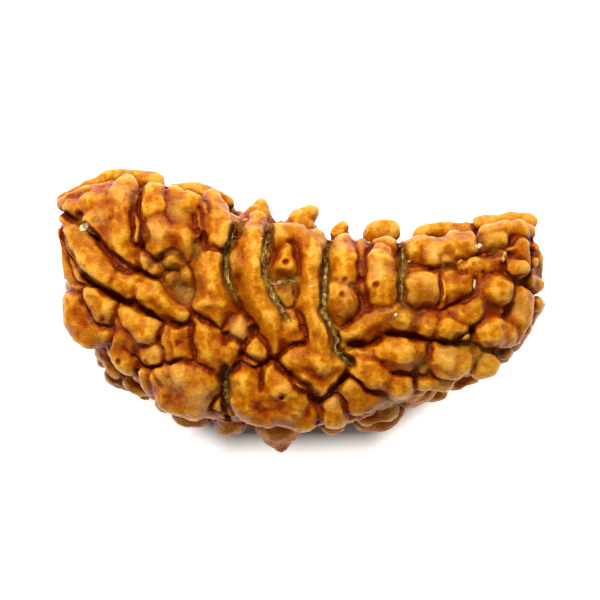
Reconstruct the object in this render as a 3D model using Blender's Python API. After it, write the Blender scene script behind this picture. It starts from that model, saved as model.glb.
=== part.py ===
"""Half-moon rudraksha bead: one grown stone, covered all over in lobes and ridges with deep grooves between.

Millimetres are used for every size and place below, and the finished mesh is scaled to metres.
X runs along the bead, +Y points to its hollow edge and +Z is up. The bead lies on one broad face.
"""
import math
import random

import bmesh
import bpy
from mathutils import Vector, noise

MM = 0.001

# The whole bead. LONGEST is how far lobes of the lower face may reach from the middle.
LENGTH = 29.5
HALF_THICKNESS = 5.7
END_REACH = 15.3
END_POWER = 3.2
END_ROUNDING = 0.62
SECTION_POWER = 2.5
LOBE_LEVEL = 0.8
GROOVE_LEVEL = 0.9
SEAM_HALF_GAP = 0.35
FLAT_SPOT_CUT = 0.45
LONGEST = 14.45

# Lobes are a little wider than their visible half width, and rooted deeper to keep their height
FACE_GROWTH = 1.08
FILL = 0.14

# Surface mesh
VOXEL = 0.175
SMOOTH_ROUNDS = 2
LUMP_HEIGHT = 0.12
LUMP_SIZE = 1.1
FACE_LIMIT = 11400
RING_SIDES = 10
CAP_ANGLES = (75, 45, 18)

# The lower face repeats the upper one end for end, with each lobe nudged and resized
BACK_SEED = 7
BACK_SHIFT = 0.22
BACK_GROWTH = 0.12

# Rows of lobes round the walls: height over the seam and half width
WALL_ROWS = ((0.95, 0.7), (2.3, 0.7), (-0.95, 0.7), (-2.3, 0.72), (3.4, 0.62), (-3.4, 0.62))
WALL_SPACING = 1.45
WALL_INSET = {1: 1.0, -1: 0.95}
END_INSET = 0.45
WALL_STRETCH = 0.35

# Plan of the bead: x, y of the hollow edge, y of the round edge
STATIONS = (
    (-14.6, 6.2, 3.0), (-14.0, 6.9, 0.8), (-13.2, 7.3, -1.5), (-12.0, 7.7, -2.8),
    (-10.0, 8.1, -4.9), (-8.0, 7.6, -5.9), (-6.0, 7.2, -6.8), (-4.0, 6.5, -7.2),
    (-2.0, 5.8, -7.1), (0.0, 5.3, -7.2), (2.0, 4.8, -7.1), (4.0, 4.6, -7.0),
    (6.0, 4.5, -6.2), (8.0, 4.6, -5.3), (10.0, 4.9, -4.5), (12.0, 5.4, -3.5),
    (13.3, 5.5, -1.7), (14.1, 5.2, -0.5), (14.7, 3.8, 0.8),
)

# Lobes and ridges of the upper face. Each is a run of (x, y, half width).
UPPER_LEFT = (
    ((-14.3, 6.5, 0.42), (-13.2, 6.9, 0.5), (-11.4, 7.4, 0.5)),
    ((-13.4, 6.2, 0.6),),
    ((-12.4, 6.2, 0.42), (-11.8, 5.3, 0.42)),
    ((-10.5, 7.4, 0.8), (-10.6, 5.8, 0.75), (-10.6, 4.3, 0.75), (-10.3, 3.3, 0.65), (-10.0, 2.9, 0.5)),
    ((-11.6, 6.5, 0.45), (-11.4, 5.2, 0.5), (-11.4, 4.3, 0.45)),
    ((-8.8, 7.0, 0.68), (-8.7, 6.1, 0.62)),
    ((-7.6, 6.9, 0.55), (-7.4, 5.5, 0.55)),
    ((-6.4, 6.7, 0.5), (-6.6, 5.8, 0.5), (-7.3, 5.0, 0.55), (-7.7, 4.2, 0.5)),
    ((-8.6, 4.9, 0.72), (-8.4, 3.8, 0.58)),
    ((-6.4, 3.8, 0.55), (-6.3, 4.6, 0.45)),
    ((-5.4, 6.6, 0.62), (-4.9, 5.2, 0.75), (-5.0, 4.2, 0.7)),
)
DIAGONAL_CHAIN = (
    ((-14.2, 5.7, 0.32), (-13.3, 4.3, 0.65), (-12.3, 3.0, 0.82), (-11.5, 2.1, 0.75)),
    ((-10.6, 1.8, 0.68), (-10.0, 1.6, 0.72)),
    ((-9.2, 1.2, 0.65),),
    ((-8.5, 1.3, 0.58), (-7.7, 0.4, 0.64), (-6.9, -0.2, 0.45)),
    ((-14.3, 5.0, 0.33), (-14.0, 3.7, 0.38), (-13.6, 2.5, 0.4), (-13.1, 1.4, 0.4)),
)
CENTRE_LEFT = (
    ((-5.4, 3.2, 0.7), (-5.3, 2.2, 0.78), (-5.1, 1.3, 0.8)),
    ((-5.5, 0.5, 0.85), (-4.9, 0.3, 0.8)),
    ((-5.8, -1.3, 0.7), (-5.2, -2.5, 0.78), (-4.9, -3.2, 0.5)),
    ((-4.0, -2.0, 0.52), (-4.3, -2.9, 0.52)),
    ((-3.6, -0.9, 0.6), (-3.6, -1.2, 0.6)),
)
CENTRE = (
    ((-2.6, 5.5, 0.58), (-2.8, 4.0, 0.75), (-2.8, 2.8, 0.75), (-2.9, 1.9, 0.7), (-2.5, 0.9, 0.62),
     (-1.9, -0.2, 0.62), (-1.6, -1.4, 0.56), (-1.5, -2.2, 0.5)),
    ((-3.7, 3.1, 0.45), (-3.5, 2.2, 0.45)),
    ((-2.5, -2.3, 0.65),),
    ((-1.2, 4.3, 0.75), (-0.1, 4.6, 0.68)),
    ((0.8, 4.3, 0.58), (0.8, 3.1, 0.6), (0.5, 1.3, 0.6), (0.8, -0.2, 0.68), (1.1, -1.1, 0.72),
     (1.2, -2.3, 0.72)),
    ((-0.4, -0.8, 0.55), (-0.9, -1.6, 0.42), (0.1, -1.4, 0.42)),
    ((-0.6, -3.0, 0.68), (0.6, -2.7, 0.75), (1.5, -3.1, 0.78), (2.4, -3.1, 0.5)),
    ((0.2, -3.9, 0.75), (1.2, -4.4, 0.7), (2.1, -3.9, 0.6)),
)
BETWEEN_FIBRES = (
    ((2.5, 4.1, 0.58), (2.5, 2.9, 0.62), (2.5, 2.2, 0.55)),
    ((3.6, 4.0, 0.42), (3.7, 2.8, 0.42)),
    ((2.3, 1.2, 0.6), (2.7, 0.4, 0.85)),
    ((4.6, 3.9, 0.6), (5.4, 3.8, 0.7)),
    ((4.8, 2.2, 0.75), (4.9, 1.4, 1.0), (4.8, 0.9, 0.85)),
)
RIGHT_TOP = (
    ((6.8, 3.6, 0.72),),
    ((7.9, 3.9, 0.45), (8.0, 3.0, 0.45)),
    ((9.4, 4.3, 0.5), (9.4, 3.4, 0.5)),
    ((10.3, 4.3, 0.5), (10.2, 3.6, 0.5)),
    ((11.3, 4.0, 0.5), (12.0, 4.1, 0.5)),
    ((11.2, 4.8, 0.45), (12.2, 4.9, 0.42)),
    ((13.2, 5.0, 0.5), (13.9, 4.7, 0.42)),
    ((13.1, 3.8, 0.6), (12.9, 2.5, 0.6)),
    ((14.1, 3.9, 0.4),),
    ((14.0, 3.0, 0.4),),
)
RIGHT_SECOND = (
    ((7.0, 1.3, 0.95), (7.7, 1.3, 0.95)),
    ((8.8, 2.0, 0.45), (8.9, 1.2, 0.5)),
    ((9.8, 1.9, 0.5), (9.8, 1.2, 0.5)),
    ((10.0, 2.6, 0.42), (10.8, 3.0, 0.45), (12.0, 2.9, 0.45)),
    ((11.6, 1.3, 0.98),),
    ((13.6, 1.8, 0.6), (14.1, 1.7, 0.55)),
)
RIGHT_THIRD = (
    ((3.1, -1.4, 0.48), (3.9, -0.8, 0.6), (4.7, -0.3, 0.64), (5.5, 0.0, 0.6)),
    ((6.1, -0.6, 0.72),),
    ((7.5, -0.7, 0.7),),
    ((8.6, -1.0, 0.68), (9.4, -1.1, 0.62)),
    ((9.6, -0.2, 0.62), (10.3, 0.2, 0.68)),
    ((13.0, 0.7, 0.78), (12.9, -0.4, 0.8), (12.65, -1.2, 0.58)),
    ((14.2, 0.5, 0.42),),
    ((13.4, -0.9, 0.45),),
)
RIGHT_FOURTH = (
    ((5.1, -2.3, 0.68), (6.0, -2.35, 0.86), (6.9, -2.3, 0.65)),
    ((7.3, -3.3, 0.4),),
    ((8.5, -2.7, 0.95), (9.2, -2.8, 0.95)),
    ((11.1, -3.0, 0.95),),
    ((11.3, -1.1, 0.95), (12.0, -1.2, 0.8)),
    ((12.3, -2.4, 0.42),),
    ((7.4, -4.0, 0.45), (8.7, -4.1, 0.42)),
    ((3.5, -3.2, 0.68), (4.2, -3.6, 0.8), (4.9, -4.0, 0.7)),
    ((5.7, -4.3, 0.8),),
    ((3.0, -4.4, 0.72), (3.5, -5.3, 0.75), (4.4, -5.0, 0.6)),
    ((2.0, -5.3, 0.7), (2.0, -5.9, 0.95)),
)
LOWER_LEFT = (
    ((-12.1, 1.0, 0.65), (-11.6, 0.0, 0.7)),
    ((-9.9, -0.2, 0.74), (-9.2, -1.1, 0.78)),
    ((-13.3, 0.6, 0.7), (-13.1, -0.5, 0.8), (-12.5, -1.3, 0.85), (-11.5, -1.4, 0.55)),
    ((-10.5, -1.4, 0.5), (-10.9, -2.3, 0.55), (-10.3, -3.0, 0.55)),
    ((-9.0, -2.5, 0.48), (-8.4, -2.5, 0.48)),
    ((-7.8, -1.6, 0.42), (-7.7, -2.6, 0.42)),
    ((-6.7, -1.0, 0.45), (-6.6, -2.5, 0.42)),
    ((-8.1, -3.7, 0.75), (-7.6, -4.9, 0.85), (-6.4, -5.4, 0.85)),
    ((-6.9, -3.7, 0.8), (-6.2, -4.3, 0.85), (-5.6, -3.9, 0.75)),
    ((-9.1, -3.6, 0.4), (-8.8, -4.8, 0.42)),
)
LOWER_CENTRE = (
    ((-3.4, -4.1, 0.82), (-3.1, -5.3, 0.9), (-2.1, -5.9, 0.85)),
    ((-1.7, -3.7, 0.72), (-1.0, -4.5, 0.85), (-0.1, -5.1, 0.85)),
    ((-1.4, -5.6, 0.85), (0.0, -6.0, 0.8), (0.9, -5.9, 0.7)),
)
UPPER_FACE = (
    UPPER_LEFT + DIAGONAL_CHAIN + CENTRE_LEFT + CENTRE + BETWEEN_FIBRES + RIGHT_TOP + RIGHT_SECOND
    + RIGHT_THIRD + RIGHT_FOURTH + LOWER_LEFT + LOWER_CENTRE
)

# Small lobes that lie deep between the others: x, y, half width
SUNK_LOBES = (
    (-9.3, 3.0, 0.42), (-8.5, 2.5, 0.42), (-7.7, 3.0, 0.45), (-7.7, 1.9, 0.35), (-6.8, 1.9, 0.35),
    (-6.8, 1.1, 0.42), (-0.9, 2.5, 0.6), (-0.9, 1.1, 0.55), (3.7, 1.2, 0.4), (3.9, 0.4, 0.42),
    (8.8, 3.0, 0.35), (2.7, -1.9, 0.3), (3.6, -2.2, 0.3),
)
SUNK_DEPTH = 0.35

# Where lobes are grown together over a broad patch: height over the roots, then a run of (x, y, half width)
PLATES = (
    (0.5, ((-13.0, 6.3, 0.85), (-11.9, 6.1, 1.2), (-11.1, 5.0, 1.1), (-10.6, 4.0, 0.8))),
    (0.4, ((-8.7, 6.3, 0.95), (-7.7, 5.8, 1.2), (-7.0, 5.0, 1.1), (-7.7, 4.5, 0.9))),
    (0.25, ((-8.9, 2.8, 0.6), (-7.7, 3.0, 0.8), (-7.2, 2.1, 0.85), (-6.6, 1.3, 0.7))),
    (0.55, ((-7.9, -3.6, 1.15), (-7.2, -4.5, 1.5), (-6.1, -4.8, 1.3))),
    (0.6, ((-3.3, -4.6, 1.1), (-2.4, -5.0, 1.4), (-1.3, -5.3, 1.3), (-0.2, -5.7, 1.0))),
    (0.5, ((-0.3, -3.2, 0.9), (0.8, -3.3, 1.1), (1.8, -3.5, 1.0))),
    (0.45, ((-1.1, 4.2, 0.85), (0.1, 4.2, 0.9), (0.6, 3.5, 0.75))),
    (0.4, ((2.5, 3.5, 0.75), (2.5, 2.0, 0.8), (2.5, 1.0, 0.85), (2.8, 0.3, 0.95))),
    (0.5, ((4.9, 3.4, 0.9), (4.9, 2.4, 0.9), (4.8, 1.4, 1.0))),
    (0.4, ((6.9, 3.6, 0.8), (8.2, 3.4, 0.8), (9.4, 3.7, 0.85), (10.5, 3.9, 0.75))),
    (0.3, ((11.4, 4.4, 0.75), (12.6, 4.5, 0.7))),
    (0.45, ((7.2, 1.3, 1.0), (8.4, 1.3, 0.9), (9.7, 1.5, 0.8))),
    (0.4, ((4.6, -0.5, 0.6), (6.0, -0.6, 0.75), (7.4, -0.75, 0.75), (8.8, -1.0, 0.7), (9.7, -0.5, 0.7))),
    (0.5, ((-12.5, 3.2, 0.7), (-11.2, 2.1, 0.7), (-10.2, 1.7, 0.7), (-9.2, 1.3, 0.65), (-8.3, 1.0, 0.6))),
    (0.6, ((-5.3, 2.7, 0.85), (-5.2, 1.4, 0.9), (-5.1, 0.4, 0.95))),
    (0.3, ((-7.3, -1.4, 0.7), (-7.2, -2.3, 0.7))),
    (0.35, ((-5.2, -1.8, 0.9), (-4.5, -2.4, 0.85))),
    (0.35, ((-12.9, 0.2, 0.8), (-12.0, -0.9, 0.8))),
    (0.35, ((8.9, -2.7, 1.0), (10.4, -2.6, 0.9))),
    (0.35, ((5.2, -3.0, 0.9), (6.2, -3.0, 0.9))),
)

# Lobes of the lower half that stand out past the seam: x, y, z, half width
RIM_LOBES = (
    ((-14.3, 6.75, -0.6, 0.4), (-12.0, 7.75, -0.7, 0.46), (-9.9, 8.1, -0.8, 0.5), (-8.7, 7.8, -0.8, 0.46)),
    ((-7.6, 7.3, -0.8, 0.5), (-5.8, 7.15, -0.8, 0.5), (-4.5, 6.55, -0.9, 0.48)),
    ((-2.5, 5.5, -0.9, 1.12), (-2.35, 6.1, -0.8, 0.68), (-2.35, 6.5, -0.8, 0.35)),
    ((-1.2, 5.1, -0.9, 0.55), (-0.8, 5.1, -0.9, 0.5)),
    ((0.15, 5.2, -0.9, 0.95), (0.35, 5.65, -0.8, 0.7), (0.6, 6.05, -0.8, 0.38)),
    ((2.45, 4.7, -0.9, 0.68), (2.65, 5.15, -0.8, 0.3)),
    ((4.5, 4.65, -0.9, 0.72), (5.3, 4.75, -0.9, 0.7)),
    ((7.3, 4.5, -0.9, 0.48), (7.9, 4.8, -0.8, 0.46), (10.3, 4.9, -0.8, 0.46)),
    ((10.9, 5.25, -0.7, 0.48), (13.2, 5.55, -0.6, 0.44), (13.9, 5.4, -0.6, 0.4)),
    ((2.0, -6.7, -1.2, 0.8),),
    ((3.9, -6.2, -1.3, 0.95), (5.1, -6.3, -1.3, 0.84), (5.7, -5.9, -1.2, 0.6)),
    ((-11.0, -3.7, -1.0, 0.85), (-10.3, -4.1, -1.0, 0.8)),
    ((-11.5, -2.6, -0.9, 0.6),),
    ((-9.4, -4.6, -1.1, 0.8),),
    ((-8.0, -5.3, -1.1, 0.75),),
    ((-6.8, -6.1, -1.2, 0.88), (-5.9, -6.2, -1.2, 0.75)),
    ((-4.2, -6.3, -1.2, 1.12),),
    ((-1.25, -6.3, -1.2, 1.6), (-1.2, -7.2, -1.25, 1.5), (-1.15, -7.9, -1.3, 0.85), (-1.1, -8.2, -1.35, 0.28)),
    ((0.6, -6.4, -1.2, 0.6),),
    ((7.2, -4.8, -1.0, 0.62), (8.3, -4.6, -1.0, 0.6)),
    ((9.3, -4.2, -1.0, 0.55), (10.3, -3.95, -0.9, 0.52)),
    ((12.2, -2.5, -0.8, 0.5),),
    ((14.2, 0.3, -0.7, 0.55), (13.4, -0.8, -0.8, 0.5)),
    ((14.0, 3.6, -0.7, 0.55), (14.1, 2.0, -0.7, 0.55)),
    ((-14.1, 5.0, -0.7, 0.42), (-13.8, 3.4, -0.8, 0.45), (-13.4, 1.8, -0.9, 0.5)),
    ((-13.3, 0.4, -0.9, 0.7), (-12.9, -1.2, -0.9, 0.7)),
)


def edges_at(x):
    """y of the hollow edge and of the round edge at x, in straight runs between stations."""
    if x <= STATIONS[0][0]:
        return STATIONS[0][1:]
    for (x0, top0, low0), (x1, top1, low1) in zip(STATIONS, STATIONS[1:]):
        if x <= x1:
            f = (x - x0) / (x1 - x0)
            return top0 + f * (top1 - top0), low0 + f * (low1 - low0)
    return STATIONS[-1][1:]


def half_thickness(x):
    """Half of the thickness at x, full at the middle and thin at both ends."""
    reach = min(abs(x) / END_REACH, 0.97)
    return HALF_THICKNESS * (1 - reach ** END_POWER) ** END_ROUNDING


def across(x, y):
    """Place across the bead, -1 at the round edge and 1 at the hollow edge."""
    top, low = edges_at(x)
    return (2 * y - top - low) / (top - low)


def root_height(x, y):
    """Height over the seam at which a lobe is rooted."""
    v = min(abs(across(x, y)), 0.96)
    return (half_thickness(x) - LOBE_LEVEL) * (1 - v ** SECTION_POWER) ** (1 / SECTION_POWER)


def fresh_scene():
    for item in list(bpy.data.objects):
        bpy.data.objects.remove(item, do_unlink=True)


def stone_material():
    material = bpy.data.materials.new("seed_stone")
    material.use_nodes = True
    shader = material.node_tree.nodes["Principled BSDF"]
    shader.inputs["Base Color"].default_value = (0.46, 0.17, 0.025, 1)
    shader.inputs["Roughness"].default_value = 0.5
    shader.inputs["Metallic"].default_value = 0.0
    return material


def add_object(name, bm, collection):
    bmesh.ops.recalc_face_normals(bm, faces=bm.faces)
    mesh = bpy.data.meshes.new(name)
    bm.to_mesh(mesh)
    bm.free()
    item = bpy.data.objects.new(name, mesh)
    collection.objects.link(item)
    return item


def skin_rings(bm, rings):
    """Joins rings of points into one closed body with flat ends."""
    loops = [[bm.verts.new(point) for point in ring] for ring in rings]
    count = len(loops[0])
    for lower, upper in zip(loops, loops[1:]):
        for i in range(count):
            j = (i + 1) % count
            bm.faces.new((lower[i], lower[j], upper[j], upper[i]))
    bm.faces.new(loops[0])
    bm.faces.new(loops[-1])


def body_section(x, sides=28):
    """Closed section of the body at x, at the level of the groove floors."""
    top, low = edges_at(x)
    middle = (top + low) / 2
    half = (top - low) / 2 - GROOVE_LEVEL
    thick = half_thickness(x) - GROOVE_LEVEL
    ring = []
    for i in range(sides):
        a = 2 * math.pi * i / sides
        reach_y = math.copysign(abs(math.cos(a)) ** (2 / SECTION_POWER), math.cos(a))
        reach_z = math.copysign(abs(math.sin(a)) ** (2 / SECTION_POWER), math.sin(a))
        ring.append(Vector((x, middle + half * reach_y, thick * reach_z)))
    return ring


def make_body(collection, stations=40):
    """The stone between its lobes, from end to end."""
    bm = bmesh.new()
    end = STATIONS[-1][0] - GROOVE_LEVEL
    rings = []
    for i in range(stations + 1):
        rings.append(body_section(-end * math.cos(math.pi * i / stations)))
    skin_rings(bm, rings)
    return add_object("rudraksha_bead", bm, collection)


def smooth_run(run, step=0.45):
    """Points about one step apart on a smooth curve through a run of (place, half width)."""
    if len(run) == 1:
        place, radius = run[0]
        return [(place, radius), (place + Vector((0.02, 0, 0)), radius)]
    places = [run[0][0]] + [place for place, _ in run] + [run[-1][0]]
    smooth = []
    for i in range(1, len(places) - 2):
        p0, p1, p2, p3 = places[i - 1:i + 3]
        count = max(1, round((p2 - p1).length / step))
        for k in range(count):
            t = k / count
            bend = 2 * p1 + (p2 - p0) * t + (2 * p0 - 5 * p1 + 4 * p2 - p3) * t ** 2
            place = (bend + (3 * p1 - p0 - 3 * p2 + p3) * t ** 3) / 2
            smooth.append((place, run[i - 1][1] * (1 - t) + run[i][1] * t))
    smooth.append(run[-1])
    return smooth


def round_ring(place, along, radius):
    reference = Vector((0, 0, 1)) if abs(along.z) < 0.9 else Vector((1, 0, 0))
    side = along.cross(reference).normalized()
    up = side.cross(along).normalized()
    ring = []
    for i in range(RING_SIDES):
        a = 2 * math.pi * i / RING_SIDES
        ring.append(place + radius * (math.cos(a) * side + math.sin(a) * up))
    return ring


def make_ridge(run, collection):
    """One lobe or ridge: a round body along a run, with domed ends."""
    path = smooth_run(run)
    first = (path[1][0] - path[0][0]).normalized()
    last = (path[-1][0] - path[-2][0]).normalized()
    start, start_radius = path[0]
    stop, stop_radius = path[-1]
    rings = []
    for angle in CAP_ANGLES:
        a = math.radians(angle)
        rings.append(round_ring(start - first * start_radius * math.sin(a), first, start_radius * math.cos(a)))
    for i in range(1, len(path) - 1):
        along = (path[i + 1][0] - path[i - 1][0]).normalized()
        rings.append(round_ring(path[i][0], along, path[i][1]))
    for angle in reversed(CAP_ANGLES):
        a = math.radians(angle)
        rings.append(round_ring(stop + last * stop_radius * math.sin(a), last, stop_radius * math.cos(a)))
    bm = bmesh.new()
    skin_rings(bm, rings)
    add_object("lobe", bm, collection)


def on_face(run, side, sunk=0.0):
    """A run of (x, y, half width) rooted in the upper (1) or the lower (-1) half."""
    placed = []
    for x, y, radius in run:
        height = max(root_height(x, y) - sunk, SEAM_HALF_GAP + 0.75 * radius)
        height -= FILL - (FACE_GROWTH - 1) * radius
        placed.append((Vector((x, y, side * height)), radius + FILL))
    return placed


def turned_end_for_end(run, draw):
    """The same run on the lower face, with its ends swapped and each point nudged."""
    turned = []
    for x, y, radius in run:
        top, low = edges_at(-x)
        place = (top + low) / 2 + across(x, y) * (top - low) / 2
        nudge_x = draw.uniform(-BACK_SHIFT, BACK_SHIFT)
        nudge_y = draw.uniform(-BACK_SHIFT, BACK_SHIFT)
        size = radius * (1 + draw.uniform(-BACK_GROWTH, BACK_GROWTH))
        edge = size + FILL
        turned_x = min(max(nudge_x - x, edge - LONGEST), LONGEST - edge)
        turned_y = min(max(place + nudge_y, low + edge), top - edge)
        turned.append((turned_x, turned_y, size))
    return turned


def walk_outline(offset):
    """Places one spacing apart round the plan, each with the direction that points out of the bead."""
    hollow = [Vector((x, top, 0)) for x, top, _ in STATIONS]
    rounded = [Vector((x, low, 0)) for x, _, low in reversed(STATIONS)]
    corners = hollow + rounded
    ahead = offset
    for start, stop in zip(corners, corners[1:] + corners[:1]):
        length = (stop - start).length
        along = (stop - start) / length
        while ahead < length:
            yield start + along * ahead, along
            ahead += WALL_SPACING
        ahead -= length


def make_wall_lobes(collection, draw):
    """Rows of lobes that cover the walls on both sides of the seam."""
    for row, (height, radius) in enumerate(WALL_ROWS):
        side = 1 if height > 0 else -1
        for place, along in walk_outline(WALL_SPACING * 0.37 * row):
            thick = half_thickness(place.x)
            level = height + draw.uniform(-0.2, 0.2)
            size = radius * draw.uniform(0.8, 1.15)
            slope = draw.uniform(-1.2, 1.2)
            if abs(level) + 0.6 * size > thick:
                continue
            out = Vector((-along.y, along.x, 0))
            reach = (1 - (abs(level) / thick) ** SECTION_POWER) ** (1 / SECTION_POWER)
            inset = WALL_INSET[side] + END_INSET * abs(place.x / END_REACH) ** 4 + (1 - reach) * thick
            centre = place - out * inset + along * draw.uniform(-0.25, 0.25)
            centre.z = level
            stretch = (along + Vector((0, 0, slope))).normalized() * WALL_STRETCH
            make_ridge([(centre - stretch, size), (centre + stretch, size * 0.92)], collection)


def make_plates(collection):
    """The broad patches that fill in under grown-together lobes, on both faces."""
    draw = random.Random(BACK_SEED + 1)
    for level, run in PLATES:
        for side, spots in ((1, run), (-1, turned_end_for_end(run, draw))):
            placed = []
            for x, y, radius in spots:
                height = root_height(x, y) + level - radius
                placed.append((Vector((x, y, side * height)), radius))
            make_ridge(placed, collection)


def make_lobes(collection):
    draw = random.Random(BACK_SEED)
    for run in UPPER_FACE:
        make_ridge(on_face(run, 1), collection)
        make_ridge(on_face(turned_end_for_end(run, draw), -1), collection)
    for lobe in SUNK_LOBES:
        make_ridge(on_face((lobe,), 1, SUNK_DEPTH), collection)
        make_ridge(on_face(turned_end_for_end((lobe,), draw), -1, SUNK_DEPTH), collection)
    for run in RIM_LOBES:
        make_ridge([(Vector((x, y, z)), radius) for x, y, z, radius in run], collection)
    make_wall_lobes(collection, draw)
    make_plates(collection)


def apply_modifiers(item):
    """Replaces the mesh by what its modifiers make of it."""
    shaped = item.evaluated_get(bpy.context.evaluated_depsgraph_get())
    mesh = bpy.data.meshes.new_from_object(shaped)
    item.modifiers.clear()
    item.data = mesh


def fuse(body, lobes):
    """Makes one solid of the body and its lobes."""
    union = body.modifiers.new("union", "BOOLEAN")
    union.operation = "UNION"
    union.operand_type = "COLLECTION"
    union.collection = lobes
    union.solver = "MANIFOLD"
    apply_modifiers(body)
    for item in list(lobes.objects):
        bpy.data.objects.remove(item, do_unlink=True)
    bpy.data.collections.remove(lobes)


def soften(body):
    """Evens out the surface, so that the lobes grow into each other."""
    remesh = body.modifiers.new("even", "REMESH")
    remesh.mode = "VOXEL"
    remesh.voxel_size = VOXEL
    smooth = body.modifiers.new("soften", "SMOOTH")
    smooth.factor = 0.5
    smooth.iterations = SMOOTH_ROUNDS
    apply_modifiers(body)


def roughen(body):
    """Lumps on the lobes, raised by a noise formula along the surface's own direction."""
    mesh = body.data
    normals = [vertex.normal.copy() for vertex in mesh.vertices]
    for vertex, normal in zip(mesh.vertices, normals):
        place = vertex.co / LUMP_SIZE
        lump = noise.noise(place) + 0.5 * noise.noise(place * 2.3)
        vertex.co += normal * LUMP_HEIGHT * lump


def thin_out(body):
    """Keeps the faces where the surface bends most."""
    faces = sum(len(polygon.vertices) - 2 for polygon in body.data.polygons)
    decimate = body.modifiers.new("thin", "DECIMATE")
    decimate.ratio = FACE_LIMIT / faces
    apply_modifiers(body)


def cut_flat_spot(body, collection):
    """A small flat spot under the weight, for the bead to rest on."""
    lowest = min(vertex.co.z for vertex in body.data.vertices)
    bm = bmesh.new()
    bmesh.ops.create_cube(bm, size=1)
    bmesh.ops.scale(bm, vec=(2 * LENGTH, 2 * LENGTH, LENGTH), verts=bm.verts)
    bmesh.ops.translate(bm, vec=(0, 0, lowest + FLAT_SPOT_CUT - LENGTH / 2), verts=bm.verts)
    cutter = add_object("ground", bm, collection)
    cutter.hide_render = True
    cutter.display_type = "WIRE"
    cut = body.modifiers.new("flat", "BOOLEAN")
    cut.operation = "DIFFERENCE"
    cut.object = cutter
    apply_modifiers(body)
    bpy.data.objects.remove(cutter, do_unlink=True)


def settle(body):
    """Scales to metres, with the origin under the middle of the bead on the surface it lies on."""
    mesh = body.data
    corners = [[fn(vertex.co[axis] for vertex in mesh.vertices) for axis in range(3)] for fn in (min, max)]
    low, high = corners
    middle = Vector(((low[0] + high[0]) / 2, (low[1] + high[1]) / 2, low[2]))
    scale = MM * LENGTH / (high[0] - low[0])
    for vertex in mesh.vertices:
        vertex.co = (vertex.co - middle) * scale
    mesh.shade_smooth()


def main():
    fresh_scene()
    collection = bpy.context.scene.collection
    lobes = bpy.data.collections.new("lobes")
    collection.children.link(lobes)
    body = make_body(collection)
    make_lobes(lobes)
    fuse(body, lobes)
    soften(body)
    roughen(body)
    thin_out(body)
    cut_flat_spot(body, collection)
    settle(body)
    body.data.materials.clear()
    body.data.materials.append(stone_material())


main()
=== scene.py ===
"""Looks of a half-moon rudraksha bead: the lobed stone, its colours and the dried fibres in its grooves."""
import math
import random

import bpy
import numpy as np
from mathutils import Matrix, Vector, noise
from mathutils.bvhtree import BVHTree


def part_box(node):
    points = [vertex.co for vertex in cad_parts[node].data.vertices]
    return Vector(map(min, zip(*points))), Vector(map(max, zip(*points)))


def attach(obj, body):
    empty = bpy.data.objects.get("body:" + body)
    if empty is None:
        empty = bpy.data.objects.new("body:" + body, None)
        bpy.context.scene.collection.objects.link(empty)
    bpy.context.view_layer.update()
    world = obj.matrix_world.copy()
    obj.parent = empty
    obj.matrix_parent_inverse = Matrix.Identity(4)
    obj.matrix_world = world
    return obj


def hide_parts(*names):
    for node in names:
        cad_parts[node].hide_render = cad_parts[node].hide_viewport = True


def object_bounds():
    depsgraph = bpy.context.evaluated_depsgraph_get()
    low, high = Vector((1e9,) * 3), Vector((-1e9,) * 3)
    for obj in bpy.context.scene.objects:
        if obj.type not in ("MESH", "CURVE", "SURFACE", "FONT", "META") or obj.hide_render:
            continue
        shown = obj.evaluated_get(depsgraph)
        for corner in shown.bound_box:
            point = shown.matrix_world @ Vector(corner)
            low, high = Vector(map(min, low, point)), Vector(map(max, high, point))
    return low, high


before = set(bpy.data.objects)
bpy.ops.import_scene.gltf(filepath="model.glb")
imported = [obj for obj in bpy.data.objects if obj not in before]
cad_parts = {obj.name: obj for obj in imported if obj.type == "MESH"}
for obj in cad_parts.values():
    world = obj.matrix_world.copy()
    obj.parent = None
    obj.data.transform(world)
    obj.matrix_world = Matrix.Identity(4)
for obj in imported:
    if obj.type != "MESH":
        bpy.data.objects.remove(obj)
cad_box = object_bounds()
NODE = "rudraksha_bead"

MM = 0.001

# Lengths are in millimetres about the middle of the photographed view, with the seam at z = 0.

# The stone's plain form, which thins out towards the ends
HALF_THICKNESS = 5.7
END_REACH = 15.3
END_POWER = 3.2
END_ROUNDING = 0.62
END_CAP = 0.97
SECTION_POWER = 2.5
SECTION_CAP = 0.96
LONGEST = 14.45
CORE_RINGS = 40
POLE = 0.9999

# How far in the lobes are rooted and the core lies, and how near the seam a lobe comes
LOBE_LEVEL = 0.8
GROOVE_LEVEL = 0.47
SEAM_HALF_GAP = 0.35
SEAM_STANDOFF = 0.75

# How a lobe is fattened in the open, near the outline and on the rim, and how much of that stands up
FILL = 0.38
EDGE_FILL = 0.14
RIM_FILL = 0.17
FACE_GROWTH = 1.08

# The crests' uneven height and the length of its waves, and how far a plate is lifted
UNEVEN_CRESTS = 0.16
CREST_WAVE = 1.4
PLATE_LIFT = 0.16

# Tubes: their step, the length of a lone one, their domed ends and their sides
PATH_STEP = 0.3
DOT_LENGTH = 0.02
DOME_DEGREES = (80, 60, 40, 20)
LOBE_SIDES = 12
FIBRE_SIDES = 6

# The skin over the lobes: its cells, its smoothing before and after carving, and the triangles kept
VOXEL = 0.1
SOFTENING = 7
LAST_SOFTENING = 2
TRIANGLES = 192000

# In metres, how near the flat spot's plane a vertex is on it
CUT_THRESHOLD = 1e-6

# Creases where lobes meet: a narrow line with broad flanks, and how its depth varies
CREASE_DEPTH = 0.34
CREASE_WIDTH = 0.12
FLANK_DEPTH = 0.12
FLANK_WIDTH = 0.9
CREASE_WAVE = 1.7
CREASE_MEAN = 0.95
CREASE_SWING = 1.1
CREASE_LIMITS = (0.25, 1.4)

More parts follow.
